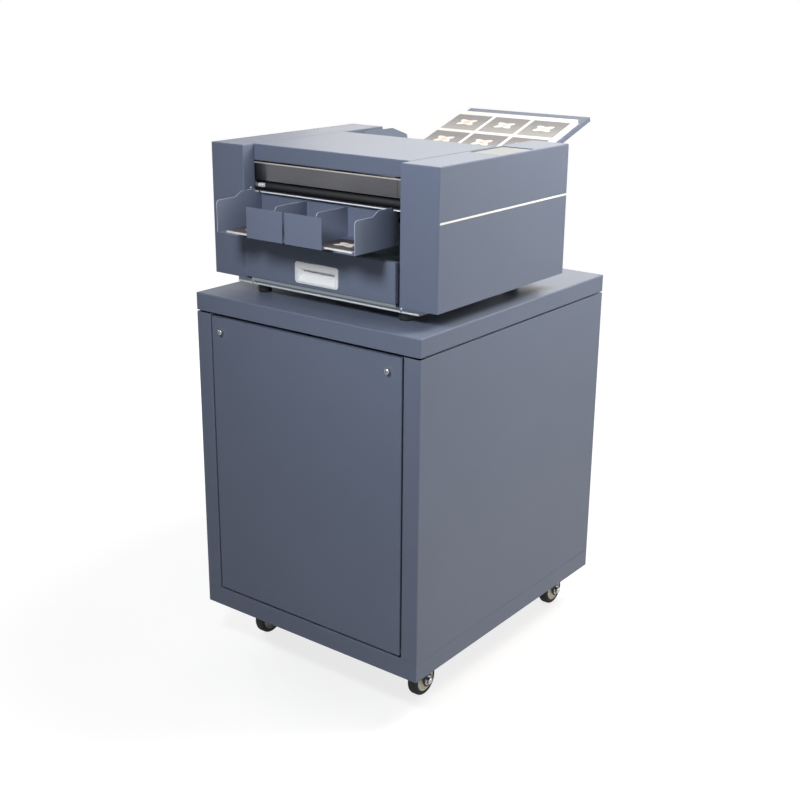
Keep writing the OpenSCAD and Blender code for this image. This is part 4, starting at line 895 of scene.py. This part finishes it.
class CUTTER_OT_lock_heads(bpy.types.Operator):
    """Make the rounded heads of the door's locks"""

    bl_idname = "cutter.lock_heads"
    bl_label = "Lock heads"

    def execute(self, context):
        lo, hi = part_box("lock_barrels")
        r = (hi.z - lo.z) / 2
        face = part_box("cabinet_door")[0].y
        front, back = (lo.y - face) / MM, (hi.y - face) / MM
        # Distance from the door's face and radius in mm: a crowned head, then the barrel over the cam's bore
        shape = [(front, 4.15), (front, 4.5), (front + 0.5, 5.3), (front + 1.4, 5.7)]
        shape += [(0.0, 5.7), (0.0, 5.4), (back, 5.4), (back, 4.15)]
        bm = bmesh.new()
        for x in (lo.x + r, hi.x - r):
            lathe(bm, (x, face, (lo.z + hi.z) / 2), [(a * MM, b * MM) for a, b in shape], "y", 40)
        piece("lock_heads", bm, "chrome", "door", "bright_chrome", "lock_barrels")
        return {"FINISHED"}


class CUTTER_OT_lock_keyways(bpy.types.Operator):
    """Make the keyways in the door's locks"""

    bl_idname = "cutter.lock_keyways"
    bl_label = "Lock keyways"

    def execute(self, context):
        lo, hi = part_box("lock_barrels")
        mid_z, r = (lo.z + hi.z) / 2, (hi.z - lo.z) / 2
        outline = rounded_outline(1.3 * MM, 4.6 * MM, 0.6 * MM, 4)
        for side, mid_x in (("left", lo.x + r), ("right", hi.x - r)):
            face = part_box("lock_cam_" + side)[0].y
            bm = bmesh.new()
            pad(bm, mid_x, mid_z, outline, ((face + 0.2 * MM, 1), (face - 0.12 * MM, 1)))
            piece("lock_keyway_" + side, bm, "black", "lock_" + side, "black_plastic")
        return {"FINISHED"}


class CUTTER_OT_lip_tabs(bpy.types.Operator):
    """Make the locating tabs and the bead on the base plate's lip, the bead pale as a painted highlight"""

    bl_idname = "cutter.lip_tabs"
    bl_label = "Lip tabs"

    def execute(self, context):
        lo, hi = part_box("base_plate")
        reach, mid_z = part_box("right_cover")[0].x - 5.1 * MM, hi.z - 4.4 * MM
        outline = rounded_outline(6 * MM, 9 * MM, 2.4 * MM, 5)
        levels = ((lo.y + 1.2 * MM, 1.0), (lo.y - 0.5 * MM, 1.0), (lo.y - 0.9 * MM, 0.86))
        bm = bmesh.new()
        for side in SIDES:
            pad(bm, side * reach, mid_z, outline, levels)
        piece("lip_tabs", bm, "zinc", "chassis", "zinc_steel")
        bm = bmesh.new()
        y0, y1, z0, z1 = lo.y - 0.4 * MM, lo.y + 3 * MM, lo.z - 0.1 * MM, lo.z + 4.2 * MM
        edge_bar(bm, lo.x + 0.5 * MM, hi.x - 0.5 * MM, y0, y1, z0, z1, 1.65 * MM)
        # The bead is drawn pale, as a painted highlight on the lip's lower edge
        piece("lip_bead", bm, "aluminium", "chassis", "zinc_steel")
        return {"FINISHED"}


class CUTTER_OT_guard_brackets(bpy.types.Operator):
    """Make the blackened brackets at the exit guard's ends"""

    bl_idname = "cutter.guard_brackets"
    bl_label = "Guard brackets"

    def execute(self, context):
        lo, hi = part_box("exit_guard")
        plate_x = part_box("exit_sleeve")[1].x - 9.5 * MM
        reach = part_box("top_cover")[1].x + 0.3 * MM
        back = lo.y + 0.8 * MM
        mid, h = (lo.z + hi.z) / 2, hi.z - lo.z - 1 * MM
        levels = ((back + 0.1 * MM, 1.0), (back - 0.5 * MM, 1.0), (back - 0.65 * MM, 0.99))
        bm = bmesh.new()
        # The right one is set further out, behind the column, where the photograph shows none
        for side, inner in ((-1, plate_x), (1, plate_x + 8 * MM)):
            outline = rounded_outline(reach - inner, h, 1.5 * MM, 4)
            pad(bm, side * (inner + reach) / 2, mid, outline, levels)
        piece("guard_brackets", bm, "bracket", "chassis", "dark_brushed_steel")
        return {"FINISHED"}


class CUTTER_OT_cup_pull(bpy.types.Operator):
    """Make the drawer's cup pull"""

    bl_idname = "cutter.cup_pull"
    bl_label = "Cup pull"

    def execute(self, context):
        lo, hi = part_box("drawer_pull")
        w, h = hi.x - lo.x, hi.z - lo.z
        front, mid = lo.y, (lo.z + hi.z) / 2
        face = front + 2.5 * MM
        # Front plate with a rounded border
        loops = []
        for y, inset in ((face, 0), (front + 1.4 * MM, 0), (front + 0.4 * MM, 0.5 * MM), (front, 1.5 * MM)):
            outline = rounded_outline(w - 2 * inset, h - 2 * inset, 7 * MM - inset)
            loops.append([(x, y, mid + z) for x, z in outline])
        # The tub behind it, the sloping mouth and the hollow behind the upper lip
        tub_x, mouth_x, throat_x = w / 2 - 5 * MM, w / 2 - 8 * MM, w / 2 - 16 * MM
        low, lip, throat = lo.z + 4.4 * MM, hi.z - 14 * MM, hi.z - 17.5 * MM
        before, deep = front - 1 * MM, hi.y - 5 * MM
        plate, tub, mouth, cave = (bmesh.new() for _ in range(4))
        loft(plate, loops)
        block(tub, -tub_x, tub_x, face - 0.6 * MM, hi.y, lo.z + 4 * MM, hi.z - 4 * MM)
        ends = ((mouth_x, before, low), (throat_x, deep, throat))
        loft(mouth, [[(-x, y, z), (x, y, z), (x, y, lip), (-x, y, lip)] for x, y, z in ends])
        block(cave, -throat_x, throat_x, face + 1.5 * MM, hi.y - 2 * MM, lip - 4 * MM, hi.z - 6 * MM)
        pull = bm_object("cup_pull", plate, "shell")
        tools = []
        for name, bm, operation in (
            ("cup_tub", tub, "UNION"),
            ("cup_wedge", mouth, "DIFFERENCE"),
            ("cup_cave", cave, "DIFFERENCE"),
        ):
            tool = bm_object(name, bm)
            mod = pull.modifiers.new(name, "BOOLEAN")
            mod.object = tool
            mod.operation = operation
            mod.solver = "EXACT"
            tools.append(tool)
        bevel(pull, 0.7, 3, 25)
        bake_modifiers(pull, 40)
        for tool in tools:
            bpy.data.objects.remove(tool)
        place(pull, "drawer", "white_plastic", "drawer_pull")
        return {"FINISHED"}


def sheet_path(sizes):
    """Middle line of the stack of sheets, as a function from the length along it, and its bend's lengths.

    The function gives a point and a direction in Y and Z.
    """
    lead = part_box("print_sheet")[0].y
    half, bend = sizes.sheet_stack / 2, 40 * MM
    rise_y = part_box("rear_panel")[1].y + 0.8 * MM - half * math.tan(FEED_SLOPE / 2)
    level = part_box("feed_table")[1].z + half + 0.1 * MM
    flat = rise_y - lead - bend * math.tan(FEED_SLOPE / 2)

    def at(s):
        if s <= flat:
            return Vector((lead + s, level)), Vector((1, 0))
        a = min((s - flat) / bend, FEED_SLOPE)
        along = Vector((math.cos(a), math.sin(a)))
        start = Vector((lead + flat + bend * math.sin(a), level + bend * (1 - math.cos(a))))
        return start + along * (s - flat - bend * a), along

    return at, [flat + bend * FEED_SLOPE * k / 8 for k in range(9)]


def leaf(bm, at, xs, lengths, low, high, fields=()):
    """Closed sheet between two heights over a path. Cells in a field get the second material and its UV."""
    layer = bm.loops.layers.uv.get("print") or bm.loops.layers.uv.new("print")
    spot = {}

    def line(s, lift):
        point, along = at(s)
        q = point + Vector((-along.y, along.x)) * lift
        verts = [bm.verts.new((x, q.x, q.y)) for x in xs]
        spot.update({v: (x, s) for v, x in zip(verts, xs)})
        return verts

    tops = [line(s, high) for s in lengths]
    lows = [line(s, low) for s in lengths]
    rows, cols = len(lengths) - 1, len(xs) - 1
    for j in range(rows):
        for i in range(cols):
            face = bm.faces.new((tops[j][i], tops[j][i + 1], tops[j + 1][i + 1], tops[j + 1][i]))
            bm.faces.new((lows[j][i], lows[j + 1][i], lows[j + 1][i + 1], lows[j][i + 1]))
            x, s = (xs[i] + xs[i + 1]) / 2, (lengths[j] + lengths[j + 1]) / 2
            for x0, x1, s0, s1 in fields:
                if x0 < x < x1 and s0 < s < s1:
                    face.material_index = 1
                    for loop in face.loops:
                        at_x, at_s = spot[loop.vert]
                        loop[layer].uv = ((at_x - x0) / (x1 - x0), (at_s - s0) / (s1 - s0))
        for i in (0, cols):
            bm.faces.new((tops[j][i], tops[j + 1][i], lows[j + 1][i], lows[j][i]))
    for i in range(cols):
        for j in (0, rows):
            bm.faces.new((tops[j][i], lows[j][i], lows[j][i + 1], tops[j][i + 1]))


class CUTTER_OT_printed_sheets(bpy.types.Operator):
    """Make the stack of printed sheets in the feed tray"""

    bl_idname = "cutter.printed_sheets"
    bl_label = "Printed sheets"

    def execute(self, context):
        sizes = context.scene.cutter_sizes
        lo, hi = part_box("print_sheet")
        at, bends = sheet_path(sizes)
        trim = 0.5 * MM
        left, right, end = lo.x + trim, hi.x - trim, sizes.sheet_l
        top = sizes.sheet_stack / 2
        step = sizes.sheet_stack / sizes.leaf_count
        bm = bmesh.new()
        for k in range(sizes.leaf_count - 1):
            base = k * step - top
            slip = 0.4 * MM * math.sin(2.4 * k)
            lengths = [trim + slip, *bends, end - trim + slip]
            leaf(bm, at, (left + slip, right + slip), lengths, base, base + 0.85 * step)
        piece("sheet_stack", bm, "paper", "chassis", "white_paper", "print_sheet", smooth=20)

        # The top sheet carries rows of printed cards, counted from its rear edge
        fields = []
        for row in range(4):
            far = end - sizes.sheet_end - row * (sizes.card_l + sizes.card_gap_y)
            for col in (-1, 0, 1):
                mid = col * (sizes.card_w + sizes.card_gap_x)
                fields.append((mid - sizes.card_w / 2, mid + sizes.card_w / 2, far - sizes.card_l, far))
        xs = sorted({left, right} | {x for f in fields for x in f[:2]})
        lengths = sorted({0.0, end} | set(bends) | {s for f in fields for s in f[2:]})
        bm = bmesh.new()
        leaf(bm, at, xs, lengths, top - step, top, fields)
        piece("printed_sheet", bm, "paper ink", "chassis", "white_paper", smooth=20)
        return {"FINISHED"}


def stack_tree():
    """A loose stack of corner-rounded cards on each point."""
    lengths = ("Width", "Length", "Corner", "Thickness", "Step")
    tree, given, out = start_tree("card_stacks", lengths, ("Cards",))
    slip, twist = 0.8 * MM, 0.012
    size = {"Width": given["Width"], "Height": given["Length"]}
    plain = add_node(tree, "GeometryNodeCurvePrimitiveQuadrilateral", size, mode="RECTANGLE")
    corners = {"Curve": plain.outputs["Curve"], "Radius": given["Corner"], "Count": 4}
    soft = add_node(tree, "GeometryNodeFilletCurve", corners, mode="POLY").outputs["Curve"]
    wall = add_node(tree, "GeometryNodeFillCurve", {"Curve": soft}, mode="NGONS").outputs["Mesh"]
    rise = add_node(tree, "ShaderNodeCombineXYZ", {"Z": given["Thickness"]}).outputs["Vector"]
    thick = {"Mesh": wall, "Offset": rise, "Individual": False}
    card = add_node(tree, "GeometryNodeExtrudeMesh", thick, mode="FACES").outputs["Mesh"]
    closed = add_node(tree, "GeometryNodeJoinGeometry", {"Geometry": card})
    low = add_node(tree, "GeometryNodeFlipFaces", {"Mesh": wall}).outputs["Mesh"]
    tree.links.new(low, closed.inputs["Geometry"])
    step = add_node(tree, "ShaderNodeCombineXYZ", {"Z": given["Step"]}).outputs["Vector"]
    rows = {"Count": given["Cards"], "Offset": step}
    line = add_node(tree, "GeometryNodeMeshLine", rows, mode="OFFSET").outputs["Mesh"]
    aside = {"Min": (-slip, -slip, 0), "Max": (slip, slip, 0), "Seed": 7}
    shift = add_node(tree, "FunctionNodeRandomValue", aside, data_type="FLOAT_VECTOR").outputs["Value"]
    moved = add_node(tree, "GeometryNodeSetPosition", {"Geometry": line, "Offset": shift})
    askew = {"Min": (0, 0, -twist), "Max": (0, 0, twist), "Seed": 3}
    turn = add_node(tree, "FunctionNodeRandomValue", askew, data_type="FLOAT_VECTOR").outputs["Value"]
    points, whole = moved.outputs["Geometry"], closed.outputs["Geometry"]
    pile = {"Points": points, "Instance": whole, "Rotation": turn}
    cards = add_node(tree, "GeometryNodeInstanceOnPoints", pile).outputs["Instances"]
    end_tree(tree, cards, given, out, turned=False)
    return tree


class CUTTER_OT_cut_cards(bpy.types.Operator):
    """Make the stacks of cut cards in the tray"""

    bl_idname = "cutter.cut_cards"
    bl_label = "Cut cards"

    def execute(self, context):
        sizes = context.scene.cutter_sizes
        lo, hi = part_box("cut_cards")
        y = (lo.y + hi.y) / 2
        width, length = sizes.card_w - 2 * MM, sizes.card_l - 2 * MM
        ends = (lo.x + sizes.card_w / 2, hi.x - sizes.card_w / 2)
        step = (hi.z - lo.z) / sizes.card_count
        values = {
            "Width": width,
            "Length": length,
            "Corner": 2.5 * MM,
            "Thickness": step * 0.9,
            "Step": step,
            "Cards": sizes.card_count - 1,
            "Finish": finishes["paper"],
        }
        cards = grow("cut_cards_stack", [(x, y, lo.z) for x in ends], None, stack_tree(), values)
        place(cards, "chassis", "white_paper", "cut_cards")

        # The top card of each stack shows its print, darkened as painted shade
        def at(s):
            return Vector((y - length / 2 + s, hi.z)), Vector((1, 0))

        bm = bmesh.new()
        for x in ends:
            x0, x1 = x - width / 2, x + width / 2
            leaf(bm, at, (x0, x1), (0.0, length), -step, 0.0, [(x0, x1, 0.0, length)])
        piece("top_cards", bm, "paper deep_ink", "chassis", "white_paper")
        return {"FINISHED"}


def seen_ray(tree):
    """Sockets that are 1 for rays from the camera, and for rays off gloss or through glass."""
    path = add_node(tree, "ShaderNodeLightPath").outputs
    either = {0: path["Is Glossy Ray"], 1: path["Is Transmission Ray"]}
    gloss = add_node(tree, "ShaderNodeMath", either, operation="MAXIMUM").outputs["Value"]
    return path["Is Camera Ray"], gloss


def floor_material():
    """White studio floor: its own white to the camera and to gloss, with real light that keeps the shadow."""
    mat = bpy.data.materials.new("studio_white")
    mat.use_nodes = True
    tree = mat.node_tree
    tree.nodes.remove(tree.nodes["Principled BSDF"])
    camera, gloss = seen_ray(tree)
    coords = add_node(tree, "ShaderNodeTexCoord").outputs["Object"]
    away = add_node(tree, "ShaderNodeVectorMath", {0: coords}, operation="LENGTH").outputs["Value"]
    fade = {"Value": away, "From Min": 0.8, "From Max": 1.8, "To Min": 0.78, "To Max": 1.0}
    whiter = add_node(tree, "ShaderNodeMapRange", fade).outputs["Result"]
    # Gloss sees the floor as dim as the studio leaves it
    dim = add_node(tree, "ShaderNodeMath", {0: gloss, 1: 0.4}, operation="MULTIPLY").outputs["Value"]
    glow = add_node(tree, "ShaderNodeMath", {0: camera, 1: whiter, 2: dim}, operation="MULTIPLY_ADD")
    shine = {"Color": (1, 1, 1, 1), "Strength": glow.outputs["Value"]}
    white = add_node(tree, "ShaderNodeEmission", shine)
    tone = {"Value": camera, "From Min": 0.0, "From Max": 1.0, "To Min": 0.5, "To Max": 0.3}
    chalk = add_node(tree, "ShaderNodeMapRange", tone).outputs["Result"]
    matte = add_node(tree, "ShaderNodeBsdfDiffuse", {"Color": chalk})
    mix = add_node(tree, "ShaderNodeAddShader", {0: white.outputs["Emission"], 1: matte.outputs["BSDF"]})
    tree.links.new(mix.outputs["Shader"], tree.nodes["Material Output"].inputs["Surface"])
    return mat


class CUTTER_OT_stage(bpy.types.Operator):
    """Set the floor, the lights and the camera"""

    bl_idname = "cutter.stage"
    bl_label = "Studio stage"

    def execute(self, context):
        scene = context.scene
        bm = bmesh.new()
        block(bm, -FLOOR_HALF, FLOOR_HALF, -FLOOR_HALF, FLOOR_HALF, FLOOR_LOW, FLOOR_TOP)
        floor = bm_object("studio_floor", bm)
        floor.data.materials.append(floor_material())

        # White to the camera and to gloss, and no light of its own
        world = bpy.data.worlds.new("studio_world")
        world.use_nodes = True
        scene.world = world
        tree = world.node_tree
        background = tree.nodes["Background"]
        background.inputs["Color"].default_value = (1, 1, 1, 1)
        rays = dict(enumerate(seen_ray(tree)))
        seen = add_node(tree, "ShaderNodeMath", rays, operation="MAXIMUM").outputs["Value"]
        light = {"Value": seen, "From Min": 0.0, "From Max": 1.0, "To Min": WORLD_LIGHT, "To Max": 1.0}
        strength = add_node(tree, "ShaderNodeMapRange", light).outputs["Result"]
        tree.links.new(strength, background.inputs["Strength"])

        for name, place_at, aim, size, watts, colour in LAMPS:
            data = bpy.data.lights.new(name, "AREA")
            data.shape = "SQUARE"
            data.size = size
            data.energy = watts
            data.color = linear(colour)
            lamp = link(name, data)
            lamp.location = place_at
            lamp.rotation_mode = "QUATERNION"
            lamp.rotation_quaternion = (Vector(aim) - Vector(place_at)).to_track_quat("-Z", "Y")
            lamp.visible_camera = False
            lamp.visible_glossy = name not in NO_GLARE

        scene.view_settings.view_transform = "Standard"
        yaw, pitch, roll = (math.radians(a) for a in CAMERA_TURN)
        ahead = Vector((-math.sin(yaw) * math.cos(pitch), math.cos(yaw) * math.cos(pitch), -math.sin(pitch)))
        level = Vector((math.cos(yaw), math.sin(yaw), 0))
        over = level.cross(ahead)
        right = math.cos(roll) * level + math.sin(roll) * over
        up = math.cos(roll) * over - math.sin(roll) * level
        data = bpy.data.cameras.new("photo_camera")
        data.sensor_width = CAMERA_SENSOR
        data.lens = CAMERA_LENS
        data.clip_end = 100
        camera = link("photo_camera", data)
        turn = Matrix((right, up, -ahead)).transposed().to_4x4()
        camera.matrix_world = Matrix.Translation(CAMERA_AT) @ turn
        scene.camera = camera
        return {"FINISHED"}


OPERATORS = (
    CUTTER_OT_finish_frame,
    CUTTER_OT_castor_wheels,
    CUTTER_OT_castor_nuts,
    CUTTER_OT_screws,
    CUTTER_OT_side_stripe,
    CUTTER_OT_exit_edges,
    CUTTER_OT_exit_guide,
    CUTTER_OT_shaft_ends,
    CUTTER_OT_card_tray,
    CUTTER_OT_feed_guides,
    CUTTER_OT_touch_screen,
    CUTTER_OT_cabinet_edges,
    CUTTER_OT_lock_heads,
    CUTTER_OT_lock_keyways,
    CUTTER_OT_lip_tabs,
    CUTTER_OT_guard_brackets,
    CUTTER_OT_cup_pull,
    CUTTER_OT_printed_sheets,
    CUTTER_OT_cut_cards,
    CUTTER_OT_stage,
)


class CUTTER_PT_sidebar(bpy.types.Panel):
    """Card cutter's pieces"""

    bl_idname = "CUTTER_PT_sidebar"
    bl_label = "Card Cutter"
    bl_space_type = "VIEW_3D"
    bl_region_type = "UI"
    bl_category = "Card Cutter"

    def draw(self, context):
        for operator in OPERATORS:
            self.layout.operator(operator.bl_idname)


CLASSES = (CutterColours, CutterSizes, *OPERATORS, CUTTER_PT_sidebar)


def register():
    for cls in CLASSES:
        bpy.utils.register_class(cls)
    bpy.types.Scene.cutter_colours = PointerProperty(type=CutterColours)
    bpy.types.Scene.cutter_sizes = PointerProperty(type=CutterSizes)


def unregister():
    del bpy.types.Scene.cutter_sizes
    del bpy.types.Scene.cutter_colours
    for cls in reversed(CLASSES):
        bpy.utils.unregister_class(cls)


def main():
    register()
    for operator in OPERATORS:
        group, name = operator.bl_idname.split(".")
        getattr(getattr(bpy.ops, group), name)()


if __name__ == "__main__":
    main()
